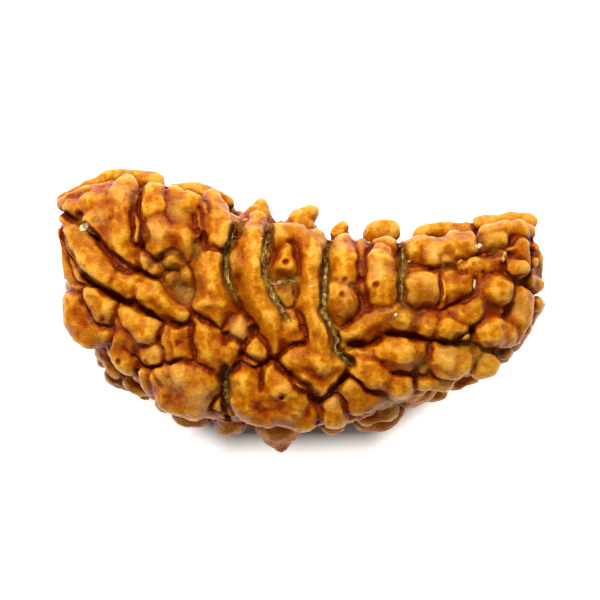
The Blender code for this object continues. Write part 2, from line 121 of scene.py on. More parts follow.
# A crease where lobes touch, what their overlap takes off it, and its share on plates and walls
TOUCHING_CREASE = 1.5
OVERLAP_LOSS = 1.7
SOFT_CREASE = 0.2
WALL_CREASE = 0.45

# Creases are worked out in blocks, from the lobes within this reach
CREASE_BLOCKS = 160
CREASE_REACH = 2.2

# Cracks and pits: their sides, a crack's wander and the depth of its full darkness, its own dark with painted
# shade, and how high and level the skin is there
CRACK_GROWTH = 1.25
CRACK_STEEPNESS = 1.6
PIT_STEEPNESS = 1.4
CRACK_WANDER = 0.05
WANDER_WAVES = (5.1, 3.7)
FULL_CRACK = 0.7
CARVED_FROM = 0.4
CARVED_RAMP = 1.2
FACING_GAIN = 2.0
FACING_BASE = 0.3

# Wear: a warp, seeded to be the same each run, then lumps by size, height and number of octaves
WARP = 0.14
WARP_SIZE = 1.1
WARP_SEED = 3
LUMPS = ((1.6, 0.15, 1), (0.7, 0.07, 1), (0.34, 0.045, 2))
OCTAVE_FALL = 1.0
OCTAVE_STEP = 2.1

# The lower face: its seed, how far each lobe is nudged and how much it grows or shrinks
BACK_SEED = 7
BACK_SHIFT = 0.22
BACK_GROWTH = 0.12

# Rows of lobes round the walls: height over the seam and half width, their spacing and how far in they sit
WALL_ROWS = ((0.95, 0.7), (2.3, 0.7), (-0.95, 0.7), (-2.3, 0.72), (3.05, 0.6), (-3.05, 0.6))
WALL_SPACING = 1.45
ROW_STAGGER = 0.37
WALL_INSET = {1: 1.0, -1: 0.95}
END_INSET = 0.45
END_INSET_POWER = 4
WALL_ROOM = 0.6

# A wall lobe: half its length, its taper, and how its height, place, size and slope vary
WALL_STRETCH = 0.35
WALL_TAPER = 0.92
LEVEL_NUDGE = 0.2
ALONG_NUDGE = 0.25
WALL_SIZES = (0.8, 1.15)
WALL_SLOPE = 1.2

# The photographed view: its width at this share of the bead's height, its middle, and the camera
VIEW_WIDTH = 36.0
VIEW_LEVEL = 0.75
VIEW_CENTRE = (-0.05, 0.64)
VIEW_DISTANCE = 320.0
SENSOR = 36.0

# The paper's painted glow, an emission that whitens it though it is no lamp: where it starts and is full past
# the round edge, sooner towards the ends, and where it is full again inside the other edges. Where it is off,
# a darker paper colour paints a contact shadow.
GLOW_FROM = 0.3
GLOW_FULL = 1.7
SHADE_REACH = 4.5
SHADE_SHARE = 0.3
COVER_INSET = 1.5
COVER_END = 13.2

# Plan of the bead: x, y of the hollow edge, y of the round edge
STATIONS = (
    (-14.6, 6.2, 3.0), (-14.0, 6.9, 0.8), (-13.2, 7.3, -1.5), (-12.0, 7.7, -2.8),
    (-10.0, 8.1, -4.9), (-8.0, 7.6, -5.9), (-6.0, 7.2, -6.8), (-4.0, 6.5, -7.2),
    (-2.0, 5.8, -7.1), (0.0, 5.3, -7.2), (2.0, 4.8, -7.1), (4.0, 4.6, -7.0),
    (6.0, 4.5, -6.2), (8.0, 4.6, -5.3), (10.0, 4.9, -4.5), (12.0, 5.4, -3.5),
    (13.3, 5.5, -1.7), (14.1, 5.2, -0.5), (14.7, 3.8, 0.8),
)

# Lobes and ridges of the upper face, from the left top to the lower middle: a run of (x, y, half width)
UPPER_FACE = (
    ((-14.3, 6.5, 0.42), (-13.2, 6.9, 0.5), (-11.4, 7.4, 0.5)), ((-13.4, 6.2, 0.6),),
    ((-12.4, 6.2, 0.42), (-11.8, 5.3, 0.42)),
    ((-10.5, 7.4, 0.8), (-10.6, 5.8, 0.75), (-10.6, 4.3, 0.75), (-10.3, 3.3, 0.65), (-10.0, 2.9, 0.5)),
    ((-11.6, 6.5, 0.45), (-11.4, 5.2, 0.5), (-11.4, 4.3, 0.45)), ((-8.85, 6.8, 0.82), (-8.85, 6.1, 0.82)),
    ((-7.6, 6.8, 0.6), (-7.2, 6.1, 0.65), (-6.5, 6.3, 0.65)),
    ((-7.3, 5.3, 0.55), (-6.9, 4.6, 0.6), (-6.8, 3.8, 0.55)), ((-8.5, 4.9, 0.82), (-8.35, 3.9, 0.66)),
    ((-5.4, 6.6, 0.62), (-4.9, 5.2, 0.75), (-5.0, 4.2, 0.7)),
    ((-14.2, 5.7, 0.32), (-13.3, 4.3, 0.65), (-12.3, 3.0, 0.82), (-11.5, 2.1, 0.75)),
    ((-10.6, 1.8, 0.68), (-10.0, 1.6, 0.72)), ((-9.2, 1.2, 0.65),),
    ((-8.5, 1.3, 0.58), (-7.7, 0.4, 0.64), (-6.9, -0.2, 0.45)),
    ((-14.3, 5.0, 0.33), (-14.0, 3.7, 0.38), (-13.6, 2.5, 0.4), (-13.1, 1.4, 0.4)),
    ((-5.4, 3.2, 0.7), (-5.3, 2.2, 0.78), (-5.1, 1.3, 0.8)), ((-5.5, 0.5, 0.85), (-4.9, 0.3, 0.8)),
    ((-5.8, -1.3, 0.7), (-5.2, -2.5, 0.78), (-4.9, -3.2, 0.5)), ((-4.0, -2.0, 0.52), (-4.3, -2.9, 0.52)),
    ((-3.6, -0.9, 0.6), (-3.6, -1.2, 0.6)),
    ((-2.6, 5.5, 0.58), (-2.8, 4.0, 0.75), (-2.8, 2.8, 0.75), (-2.9, 1.9, 0.7), (-2.5, 0.9, 0.62),
     (-1.9, -0.2, 0.62), (-1.6, -1.4, 0.56), (-1.5, -2.2, 0.5)),
    ((-3.7, 3.1, 0.45), (-3.5, 2.2, 0.45)), ((-2.5, -2.3, 0.65),), ((-1.2, 4.3, 0.75), (-0.1, 4.6, 0.68)),
    ((0.8, 4.3, 0.58), (0.8, 3.1, 0.6), (0.5, 1.3, 0.6), (0.8, -0.2, 0.68), (1.1, -1.1, 0.72),
     (1.2, -2.3, 0.72)),
    ((-0.4, -0.8, 0.55), (-0.9, -1.6, 0.42), (0.1, -1.4, 0.42)),
    ((-0.6, -3.0, 0.68), (0.6, -2.7, 0.75), (1.5, -3.1, 0.78), (2.4, -3.1, 0.5)),
    ((0.2, -3.9, 0.75), (1.2, -4.4, 0.7), (2.1, -3.9, 0.6)),
    ((2.6, 4.1, 0.62), (2.7, 2.9, 0.78), (2.65, 2.1, 0.7)), ((3.75, 4.1, 0.36), (3.8, 3.6, 0.36)),
    ((2.3, 1.2, 0.6), (2.7, 0.4, 0.85)), ((4.6, 3.9, 0.6), (5.3, 3.8, 0.7)),
    ((4.8, 2.5, 0.85), (4.9, 1.5, 1.0), (4.8, 0.9, 0.85)),
    ((6.8, 3.6, 0.72),), ((7.9, 3.9, 0.45), (8.0, 3.0, 0.45)), ((9.4, 4.3, 0.5), (9.4, 3.4, 0.5)),
    ((10.3, 4.3, 0.5), (10.2, 3.6, 0.5)), ((11.3, 4.0, 0.5), (12.0, 4.1, 0.5)),
    ((11.2, 4.8, 0.45), (12.2, 4.9, 0.42)), ((13.2, 5.0, 0.5), (13.9, 4.7, 0.42)),
    ((13.1, 3.8, 0.6), (12.9, 2.5, 0.6)), ((14.1, 3.9, 0.4),), ((14.0, 3.0, 0.4),),
    ((7.0, 1.3, 0.95), (7.7, 1.3, 0.95)), ((8.8, 2.0, 0.45), (8.9, 1.2, 0.5)),
    ((9.8, 1.9, 0.5), (9.8, 1.2, 0.5)), ((10.0, 2.4, 0.5), (10.8, 2.8, 0.55), (12.0, 2.8, 0.55)),
    ((11.6, 1.3, 0.98),), ((13.6, 1.8, 0.6), (14.1, 1.7, 0.55)),
    ((3.1, -1.4, 0.48), (3.9, -0.8, 0.6), (4.7, -0.3, 0.64), (5.5, 0.0, 0.6)), ((6.1, -0.6, 0.72),),
    ((7.5, -0.7, 0.7),), ((8.6, -1.0, 0.68), (9.4, -1.1, 0.62)), ((9.6, -0.2, 0.62), (10.3, 0.2, 0.68)),
    ((13.0, 0.7, 0.78), (12.9, -0.4, 0.8), (12.65, -1.2, 0.58)), ((14.2, 0.5, 0.42),), ((13.4, -0.9, 0.45),),
    ((5.1, -2.3, 0.68), (6.0, -2.35, 0.86), (6.9, -2.3, 0.65)), ((7.3, -3.3, 0.4),),
    ((8.5, -2.7, 0.95), (9.2, -2.8, 0.95)), ((11.1, -3.0, 0.95),), ((11.3, -1.1, 0.95), (12.0, -1.2, 0.8)),
    ((12.3, -2.4, 0.42),), ((7.4, -4.0, 0.45), (8.7, -4.1, 0.42)),
    ((3.5, -3.2, 0.68), (4.2, -3.6, 0.8), (4.9, -4.0, 0.7)), ((5.7, -4.3, 0.8),),
    ((3.0, -4.4, 0.72), (3.5, -5.3, 0.75), (4.4, -5.0, 0.6)), ((2.0, -5.3, 0.7), (2.0, -5.9, 0.95)),
    ((-12.1, 1.0, 0.65), (-11.6, 0.0, 0.7)), ((-9.9, -0.2, 0.74), (-9.2, -1.1, 0.78)),
    ((-13.3, 0.6, 0.7), (-13.1, -0.5, 0.8), (-12.5, -1.3, 0.85), (-11.5, -1.4, 0.55)),
    ((-10.5, -1.4, 0.5), (-10.9, -2.3, 0.55), (-10.3, -3.0, 0.55)), ((-9.0, -2.5, 0.48), (-8.4, -2.5, 0.48)),
    ((-7.8, -1.5, 0.5), (-7.7, -2.5, 0.46)), ((-6.8, -1.1, 0.46), (-6.85, -2.5, 0.44)),
    ((-8.1, -3.7, 0.75), (-7.6, -4.9, 0.85), (-6.4, -5.4, 0.85)),
    ((-6.9, -3.7, 0.8), (-6.2, -4.3, 0.85), (-5.6, -3.9, 0.75)), ((-9.1, -3.6, 0.4), (-8.8, -4.8, 0.42)),
    ((-3.4, -4.1, 0.82), (-3.1, -5.3, 0.9), (-2.1, -5.9, 0.85)),
    ((-1.7, -3.7, 0.72), (-1.0, -4.5, 0.85), (-0.1, -5.1, 0.85)),
    ((-1.4, -5.6, 0.85), (0.0, -6.0, 0.8), (0.9, -5.9, 0.7)),
    ((-9.3, 3.0, 0.42),), ((-8.5, 2.5, 0.42),), ((-7.7, 3.0, 0.45),), ((-7.7, 1.9, 0.35),),
    ((-6.8, 1.9, 0.35),), ((-6.8, 1.1, 0.42),), ((-0.9, 2.5, 0.6),), ((-0.9, 1.1, 0.55),), ((3.7, 1.2, 0.4),),
    ((3.9, 0.4, 0.42),), ((8.8, 3.0, 0.35),), ((2.7, -1.9, 0.3),), ((3.6, -2.2, 0.3),),
)

# Where lobes are grown together over a broad patch: height over the roots, then a run of (x, y, half width)
PLATES = (
    (0.5, ((-13.0, 6.3, 0.85), (-11.9, 6.1, 1.2), (-11.1, 5.0, 1.1), (-10.6, 4.0, 0.8))),
    (0.45, ((-7.9, 6.2, 0.9), (-7.5, 5.7, 1.2), (-7.0, 5.0, 1.1), (-7.7, 4.5, 0.9))),
    (0.3, ((-14.0, 6.2, 0.5), (-12.9, 6.6, 0.8), (-11.6, 6.9, 0.8), (-10.4, 7.0, 0.9))),
    (0.35, ((-14.1, 5.6, 0.5), (-13.4, 5.0, 0.75), (-12.5, 4.2, 0.8))),
    (0.5, ((-9.7, 6.6, 0.7), (-9.5, 4.5, 0.75))),
    (0.3, ((-14.0, 4.3, 0.5), (-13.5, 3.0, 0.6), (-13.0, 2.0, 0.65))),
    (0.45, ((-5.9, 6.1, 0.7), (-5.8, 4.6, 0.75))),
    (-0.15, ((-8.9, 2.8, 0.6), (-7.7, 3.0, 0.8), (-7.2, 2.1, 0.85), (-6.6, 1.3, 0.7))),
    (0.35, ((-0.9, 3.7, 0.75), (-0.85, 2.6, 0.62))),
    (0.55, ((-7.9, -3.6, 1.15), (-7.2, -4.5, 1.5), (-6.1, -4.8, 1.3))),
    (0.74, ((-3.2, -4.5, 1.1), (-2.2, -4.8, 1.5), (-1.1, -5.0, 1.5), (-0.2, -5.5, 1.1))),
    (0.5, ((-0.3, -3.2, 0.9), (0.8, -3.3, 1.1), (1.8, -3.5, 1.0))),
    (0.45, ((-1.1, 4.2, 0.85), (0.1, 4.2, 0.9), (0.6, 3.5, 0.75))),
    (0.4, ((2.5, 3.5, 0.75), (2.5, 2.0, 0.8), (2.5, 1.0, 0.85), (2.8, 0.3, 0.95))),
    (0.35, ((3.5, 3.8, 0.7), (3.7, 2.3, 0.75), (3.8, 0.8, 0.7))),
    (0.5, ((4.9, 3.4, 0.9), (4.9, 2.4, 0.9), (4.8, 1.4, 1.0))),
    (0.4, ((7.0, 3.6, 1.05), (8.2, 3.5, 1.1), (9.4, 3.6, 1.15), (10.2, 3.9, 1.0))),
    (0.4, ((11.2, 4.4, 0.9), (12.4, 4.6, 0.95), (13.3, 4.7, 0.8))),
    (0.45, ((9.8, 2.6, 0.7), (10.9, 2.9, 0.8), (12.1, 2.9, 0.75))),
    (0.45, ((7.2, 1.3, 1.0), (8.4, 1.3, 0.9), (9.7, 1.5, 0.8))),
    (0.4, ((4.6, -0.5, 0.6), (6.0, -0.6, 0.75), (7.4, -0.75, 0.75), (8.8, -1.0, 0.7), (9.7, -0.5, 0.7))),
    (0.5, ((-12.5, 3.2, 0.7), (-11.2, 2.1, 0.7), (-10.2, 1.7, 0.7), (-9.2, 1.3, 0.65),
           (-8.3, 1.0, 0.6))),
    (0.6, ((-5.3, 2.7, 0.85), (-5.2, 1.4, 0.9), (-5.1, 0.4, 0.95))),
    (0.4, ((-7.3, -1.3, 0.8), (-7.2, -2.4, 0.8))),
    (0.3, ((-10.6, -0.6, 0.8), (-10.0, -1.7, 0.8), (-9.2, -2.2, 0.7))),
    (0.3, ((-6.2, -0.6, 0.6), (-6.2, -1.6, 0.6))), (0.55, ((-5.3, -1.9, 1.0), (-4.4, -2.4, 1.0))),
    (0.3, ((-9.0, -3.6, 0.7), (-8.6, -4.6, 0.75))), (0.35, ((-12.9, 0.2, 0.8), (-12.0, -0.9, 0.8))),
    (0.35, ((8.9, -2.7, 1.0), (10.4, -2.6, 0.9))),
    (0.3, ((10.7, 2.2, 0.7), (10.7, 0.6, 0.7), (11.7, -0.1, 0.7))),
    (0.3, ((2.9, -2.6, 0.6), (3.9, -2.5, 0.65), (5.0, -3.1, 0.7))),
    (0.35, ((5.2, -3.0, 0.9), (6.2, -3.0, 0.9))),
)

# Lobes of the rim, at or under the seam, that make the outline: x, y, z, half width
RIM_LOBES = (
    ((-14.3, 6.75, -0.6, 0.4), (-12.0, 7.75, -0.7, 0.46), (-9.9, 8.1, -0.8, 0.5), (-8.7, 7.8, -0.8, 0.46)),
    ((-7.6, 7.3, -0.8, 0.5), (-5.8, 7.15, -0.8, 0.5), (-4.5, 6.55, -0.9, 0.48)),
    ((-2.65, 5.5, -0.9, 1.14), (-2.5, 6.0, -0.8, 0.78), (-2.35, 6.45, -0.8, 0.35)),
    ((-1.2, 5.1, -0.9, 0.55), (-0.8, 5.1, -0.9, 0.5)),
    ((0.1, 5.2, -0.9, 1.0), (0.2, 5.6, -0.8, 0.8), (0.55, 5.95, -0.8, 0.42)),
    ((2.45, 4.7, -0.9, 0.68), (2.65, 5.15, -0.8, 0.3)), ((4.5, 4.65, -0.9, 0.72), (5.3, 4.75, -0.9, 0.7)),
    ((7.3, 4.5, -0.9, 0.48), (7.9, 4.8, -0.8, 0.46), (10.3, 4.9, -0.8, 0.46)),
    ((10.9, 5.25, -0.7, 0.48), (13.2, 5.55, -0.6, 0.44), (13.9, 5.4, -0.6, 0.4)), ((2.0, -6.7, -1.2, 0.8),),
    ((3.9, -6.2, -1.3, 0.95), (5.1, -6.3, -1.3, 0.84), (5.7, -5.9, -1.2, 0.6)),
    ((4.0, -5.9, 0.0, 0.9), (5.2, -5.7, 0.2, 0.9)), ((6.5, -5.0, 0.2, 0.75), (7.6, -4.6, 0.3, 0.7)),
    ((-11.0, -3.7, -1.0, 0.85), (-10.3, -4.1, -1.0, 0.8)), ((-11.5, -2.6, -0.9, 0.6),),
    ((-11.6, -2.3, 0.1, 0.8), (-10.9, -3.3, 0.0, 0.85)), ((-10.0, -4.0, 0.1, 0.85), (-9.3, -4.4, 0.3, 0.75)),
    ((-9.4, -4.6, -1.1, 0.8),), ((-8.0, -5.3, -1.1, 0.75),),
    ((-6.8, -6.1, -1.2, 0.88), (-5.9, -6.2, -1.2, 0.75)), ((-4.2, -6.3, -1.2, 1.12),),
    ((-1.25, -6.3, -1.2, 1.6), (-1.2, -7.2, -1.25, 1.5), (-1.15, -7.9, -1.3, 0.85),
     (-1.1, -8.2, -1.35, 0.28)),
    ((0.6, -6.4, -1.2, 0.6),), ((7.2, -4.8, -1.0, 0.62), (8.3, -4.6, -1.0, 0.6)),
    ((9.3, -4.2, -1.0, 0.55), (10.3, -3.95, -0.9, 0.52)), ((12.2, -2.5, -0.8, 0.5),),
    ((14.2, 0.3, -0.7, 0.55), (13.4, -0.8, -0.8, 0.5)), ((14.0, 3.6, -0.7, 0.55), (14.1, 2.0, -0.7, 0.55)),
    ((-14.1, 5.0, -0.7, 0.42), (-13.8, 3.4, -0.8, 0.45), (-13.4, 1.8, -0.9, 0.5)),
    ((-13.3, 0.4, -0.9, 0.7), (-12.9, -1.2, -0.9, 0.7)),
)

# Deep cracks of the upper face: a run of (x, y), half width, depth
CRACKS = (
    (((-9.7, 7.0), (-9.6, 5.2), (-9.4, 3.7)), 0.17, 0.6),
    (((-6.0, 6.2), (-5.8, 5.0), (-5.7, 3.9)), 0.15, 0.35),
    (((-14.2, 4.7), (-13.7, 3.6), (-13.2, 2.6), (-12.6, 1.9)), 0.16, 0.35),
    (((-12.9, 2.2), (-11.1, 0.9), (-10.2, 0.5), (-9.0, -0.1), (-8.1, -0.5)), 0.24, 0.55),
    (((-8.3, -0.4), (-6.5, -0.75)), 0.17, 0.3),
    (((-14.4, 6.0), (-12.6, 4.9), (-11.7, 4.0), (-10.8, 3.0), (-9.0, 2.1), (-8.3, 1.9)), 0.18, 0.42),
    (((6.3, 2.9), (8.4, 2.4), (9.3, 2.65), (10.4, 3.3), (12.0, 3.45), (12.6, 4.1)), 0.15, 0.3),
    (((3.0, -1.9), (3.9, -2.0), (5.4, -1.3), (7.2, -1.6), (8.9, -1.9), (10.2, -1.1)), 0.2, 0.5),
    (((-4.0, 4.9), (-4.1, 4.3), (-4.4, 3.7), (-4.4, 2.9), (-4.3, 2.0), (-4.1, 1.3), (-3.7, 0.4),
      (-3.0, -0.5)), 0.24, 0.55),
    (((-1.8, 5.2), (-1.9, 4.2), (-2.1, 3.6), (-2.1, 2.3), (-1.9, 1.6), (-1.4, 0.6), (-0.8, -0.4)), 0.22, 0.5),
    (((1.8, 4.2), (1.5, 3.5), (1.5, 2.2), (1.4, 0.8), (1.3, 0.1), (1.9, -0.9), (2.2, -1.7), (2.2, -2.3),
      (3.0, -3.1)), 0.24, 0.6),
    (((6.1, 4.1), (6.2, 3.0), (6.1, 2.2), (6.0, 0.8)), 0.22, 0.5),
    (((8.4, 2.3), (8.4, 1.4), (8.3, 0.5)), 0.16, 0.35),
    (((-1.5, -2.9), (-0.9, -3.6), (0.3, -4.4), (0.9, -5.3)), 0.2, 0.4),
    (((1.0, -5.3), (1.6, -4.9), (2.5, -4.1), (2.9, -3.8)), 0.22, 0.5),
    (((-2.3, -3.3), (-2.35, -4.6)), 0.18, 0.4), (((-4.5, -3.4), (-4.5, -5.0), (-4.4, -6.6)), 0.25, 0.6),
    (((1.0, -4.9), (1.1, -6.6)), 0.2, 0.4), (((-9.2, -2.9), (-8.8, -3.6), (-8.4, -4.4)), 0.14, 0.15),
    (((-4.3, -1.2), (-4.5, -1.8)), 0.14, 0.3), (((-3.3, -2.4), (-2.3, -3.1), (-1.5, -2.8)), 0.22, 0.45),
)

# Pits of the upper face: x, y, radius, depth
PITS = (
    (-8.4, 2.7, 0.9, 0.25), (-7.5, 2.5, 0.9, 0.3), (-6.9, 1.5, 0.8, 0.4), (-0.9, 1.6, 0.8, 0.45),
    (3.8, 0.8, 0.6, 0.3), (-6.1, 4.9, 0.2, 0.4), (-9.8, -2.4, 0.28, 0.45), (-11.8, -0.5, 0.22, 0.35),
    (-7.25, -1.9, 0.15, 0.3), (-1.0, -5.1, 0.18, 0.3), (4.6, 1.6, 0.12, 0.3), (2.6, 1.9, 0.16, 0.3),
    (2.5, 1.0, 0.2, 0.3), (-0.85, 3.0, 0.17, 0.4), (-2.7, -1.1, 0.35, 0.6), (3.6, 2.0, 0.3, 0.5),
    (-13.2, 5.9, 0.2, 0.25), (-10.9, -3.0, 0.15, 0.25), (9.0, -2.6, 0.12, 0.1), (-3.8, 2.0, 0.25, 0.35),
)

# Dried fibres that lie in the grooves: how many strands, then a run of (x, y)
FIBRES = (
    (9, ((-3.96, 4.92), (-4.14, 4.32), (-4.44, 3.72), (-4.44, 3.0), (-4.38, 2.22), (-4.14, 1.44),
         (-3.9, 1.02))),
    (10, ((-1.8, 5.22), (-1.92, 4.32), (-2.1, 3.72), (-2.16, 2.4), (-1.92, 1.74), (-1.5, 0.72), (-1.2, 0.3),
          (-0.66, -0.6))),
    (3, ((-1.92, 1.86), (-1.5, 1.68), (-0.3, 1.86))),
    (2, ((-1.68, 1.32), (-1.2, 0.42))),
    (15, ((1.8, 4.4), (1.56, 3.6), (1.5, 2.22), (1.44, 0.72), (1.32, 0.12), (1.98, -1.08), (2.22, -1.68),
          (2.16, -2.28), (3.06, -3.18))),
    (7, ((6.12, 4.3), (6.24, 3.0), (6.12, 2.4), (6.0, 0.72))),
    (6, ((-4.4, -3.6), (-4.5, -4.4), (-4.45, -5.3))),
)
FIBRE_SEED = 21
STRAY_HAIRS = 120

# How high over the seam the stone under a fibre has to be, so that none drops off the edge
FIBRE_LOWEST = 1.2

# A strand: its step, and the least and most of its waves, their sway, its lift and its half width
STRAND_STEP = 0.12
STRAND_WAVES = (0.8, 2.2)
STRAND_SWAY = (0.01, 0.06)
STRAND_LIFT = (0.0, 0.14)
STRAND_RADIUS = (0.012, 0.028)
STRAND_DRIFT = 0.2
FULL_TURN = 6.3

# A hair: half its length, its bend, its half width, its step and the lift of its three places
HAIR_REACH = (0.08, 0.22)
HAIR_BEND = 0.08
HAIR_RADIUS = 0.016
HAIR_STEP = 0.08
HAIR_LIFTS = (0.03, 0.12, 0.05)

# Pale chips and specks caught on the stone: x, y, half length, half width, turn in degrees
FLECKS = (
    (-13.0, 5.1, 0.3, 0.2, 30), (0.66, 1.5, 0.08, 0.06, 0), (-2.28, 4.38, 0.08, 0.05, 40),
    (10.44, 1.68, 0.3, 0.07, 88), (10.74, 3.96, 0.2, 0.14, 20), (12.18, 3.12, 0.14, 0.09, 70),
    (6.54, 3.0, 0.1, 0.07, 10), (5.7, -0.18, 0.12, 0.09, 50), (-9.6, -3.6, 0.07, 0.05, 0),
)
FLECK_HEIGHT = 0.05
FLECK_SWELL = 0.3
FLECK_WAVES = 1.6

# Patches of pale skin, dust and brown on the upper face: x, y, radius
PALE_PATCHES = (
    (-12.1, 5.7, 0.55), (-3.6, -1.0, 0.7), (-8.7, -2.5, 0.6), (4.7, 2.5, 0.7), (2.9, 1.5, 0.5),
    (2.0, -5.3, 0.6), (8.0, 3.6, 0.5), (10.6, 4.2, 0.5), (-9.2, 3.0, 0.5), (8.9, -2.6, 0.7),
    (-10.5, 7.3, 0.8), (-8.6, 4.9, 0.7), (2.6, 5.2, 0.7), (5.0, 4.9, 0.9), (-7.6, -4.0, 0.9),
    (-6.0, -5.2, 0.9), (13.0, 0.3, 0.8), (8.7, -4.5, 0.7),
)
DUST_PATCHES = (
    (-7.7, 3.0, 0.8), (-7.3, 1.9, 0.9), (-6.8, 1.1, 0.7), (-6.4, 3.8, 0.7), (-0.9, 1.1, 0.8), (8.8, 3.0, 0.6),
    (7.3, -3.3, 0.6), (-4.0, 5.0, 0.7), (-1.7, 5.0, 0.7), (1.7, 4.6, 0.7), (6.1, 4.2, 0.5), (9.4, -2.2, 1.1),
    (11.1, -2.8, 1.0), (-4.5, -4.6, 0.7), (6.0, -0.2, 0.9), (-13.0, 5.0, 0.7), (11.5, 4.3, 0.8),
    (2.4, -2.2, 0.7), (5.7, -5.6, 1.0), (-7.2, 6.2, 0.7),
)
BROWN_PATCHES = (
    (7.3, 1.2, 0.95), (2.7, 0.3, 0.8), (-3.75, 3.6, 0.45), (-3.7, 2.6, 0.45), (-3.5, 1.6, 0.45),
    (-3.2, 0.4, 0.45), (-1.5, 2.4, 0.6), (-0.3, 2.2, 0.4), (-6.4, 3.0, 0.6), (-5.9, 1.9, 0.5),
    (0.4, -4.6, 0.6), (-5.5, -6.0, 0.6), (-12.3, -1.9, 0.7), (-4.2, -6.2, 0.9), (4.6, -6.1, 1.2),
    (-1.2, -7.6, 1.4), (10.4, 0.9, 0.4), (5.4, 2.8, 0.4),
)
BROWN_SHARE = 0.8

# Where a patch ends, in its radius, and the dust along a fibre, in its reach
PATCH_FADE = 1.3
DUST_FADE = 1.5
DUST_REACH = 0.3

# Relief that the finish reads: the rounds of smoothing it is measured from, and its full height
BROAD_RELIEF = (60, 0.7)
FINE_RELIEF = (10, 0.16)

# Painted shade under the round edge, on the walls that face away from the lamp: its height, its spread and
# its gain
UNDER_LEVEL = -1.2
UNDER_SPREAD = 1.1
UNDER_GAIN = 1.6

# Colours as seen, from 0 to 255, some with their places on a ramp
# A ramp read by relief: the stone's own tone, darker in hollows as painted shade and paler on crests as a
# painted highlight
STAIN_AND_PAINTED_LIGHT = (
    (0.12, (90, 18, 1)), (0.3, (120, 37, 1)), (0.45, (142, 60, 1)), (0.6, (159, 84, 2)),
    (0.76, (178, 105, 6)), (0.9, (202, 137, 24)), (1.0, (214, 156, 56)),
)
# Brown of real patches, and painted shade on the walls under the round edge
BROWN_AND_SHADE = (124, 58, 6)
PALE_SKIN = (212, 160, 74)
DUST = (166, 136, 44)
DARK_SPECK = (96, 40, 8)
# Darker flanks by the creases: partly the stone's own tone, partly painted shade
FLANK_TONE_AND_SHADE = (120, 46, 1)
# Creases darkened: partly their own dark, partly painted shade
CREASE_TONE_AND_SHADE = (80, 16, 1)
# Cracks and pits darkened: partly their own dark, partly painted shade
CRACK_TONE_AND_SHADE = (76, 14, 1)
FIBRE = ((0.36, (96, 68, 14)), (0.52, (158, 124, 44)), (0.68, (212, 186, 116)))
CHIP = (206, 176, 128)
PALE_CHIP = (222, 204, 172)
PAPER = (245, 245, 246)
PAPER_FIBRE = (236, 236, 238)
# Painted contact shadow: the darker paper colour near the bead
PAINTED_SHADOW_PAPER = (120, 118, 122)

# The floor, in metres: its cells each way, its fine part, how far its rim is drawn out and its level
FLOOR_CELLS = 160
FLOOR_FINE = 0.08
FLOOR_RIM = 0.0399
FLOOR_GROWTH = 40
FLOOR_LEVEL = -0.00002

# The lamp and the light from all round, in metres and linear colours
KEY_PLACE = Vector((-0.06, 0.205, 0.255))
KEY_SIZE = 0.1
KEY_LEVEL = 1.5
KEY_COLOUR = (1.0, 0.985, 0.96)
KEY_AIM = 0.005
ROUND_COLOUR = (1, 0.91, 0.77, 1)
ROUND_STRENGTH = 0.48


class Tone:
    """One value of a finish. Arithmetic on it adds Math nodes to that finish."""

    def __init__(self, finish, socket):
        self.finish = finish
        self.socket = socket

    def math(self, operation, first, second, clamp=False):
        settings = {"operation": operation, "use_clamp": clamp}
        return self.finish.add("ShaderNodeMath", settings, {0: first, 1: second})

    def __add__(self, other):
        return self.math("ADD", self, other)

    def __radd__(self, other):
        return self.math("ADD", other, self)

    def __sub__(self, other):
        return self.math("SUBTRACT", self, other)

    def __rsub__(self, other):
        return self.math("SUBTRACT", other, self)

    def __mul__(self, other):
        return self.math("MULTIPLY", self, other)

    def __rmul__(self, other):
        return self.math("MULTIPLY", other, self)

    def held(self):
        """The value kept within 0 and 1."""
        return self.math("ADD", self, 0.0, clamp=True)


class Finish:
    """A material with one Principled shader, and the nodes that feed it."""

    def __init__(self, name):
        self.material = bpy.data.materials.new(name)
        self.material.use_nodes = True
        self.tree = self.material.node_tree
        self.shader = self.tree.nodes["Principled BSDF"]

    def add(self, kind, settings=None, inputs=None, output=0):
        node = self.tree.nodes.new(kind)
        for name, value in (settings or {}).items():
            if name == "stops":
                self.set_stops(node.color_ramp, value)
            else:
                setattr(node, name, value)
        for key, value in (inputs or {}).items():
            self.feed(node.inputs[key], value)
        return Tone(self, node.outputs[output])

    def set_stops(self, ramp, stops):
        for element, (place, colour) in zip(ramp.elements, (stops[0], stops[-1])):
            element.position = place
            element.color = linear(colour)
        for place, colour in stops[1:-1]:
            ramp.elements.new(place).color = linear(colour)

    def feed(self, socket, value):
        if isinstance(value, Tone):
            self.tree.links.new(value.socket, socket)
        else:
            socket.default_value = value

    def set(self, **values):
        for name, value in values.items():
            self.feed(self.shader.inputs[name.replace("_", " ")], value)

    def grain(self, size, detail=2.0, roughness=0.5, shift=(0, 0, 0)):
        """Noise whose features are about one size, in millimetres."""
        place = self.add("ShaderNodeTexCoord", output="Object")
        moved = self.add("ShaderNodeMapping", {}, {"Vector": place, "Location": shift})
        inputs = {"Vector": moved, "Scale": 1 / (size * MM), "Detail": detail, "Roughness": roughness}
        return self.add("ShaderNodeTexNoise", {}, inputs)

    def trait(self, name):
        """A value that each vertex of the piece carries."""
        return self.add("ShaderNodeAttribute", {"attribute_name": name}, {}, "Fac")

    def blend(self, factor, first, second):
        return self.add("ShaderNodeMix", {"data_type": "RGBA"}, {0: factor, 6: first, 7: second}, 2)


def linear(colour):
    """A colour given as seen, from 0 to 255, as a shader takes it."""
    parts = []
    for part in colour:
        level = part / 255
        parts.append(level / 12.92 if level <= 0.04045 else ((level + 0.055) / 1.055) ** 2.4)
    return (*parts, 1.0)


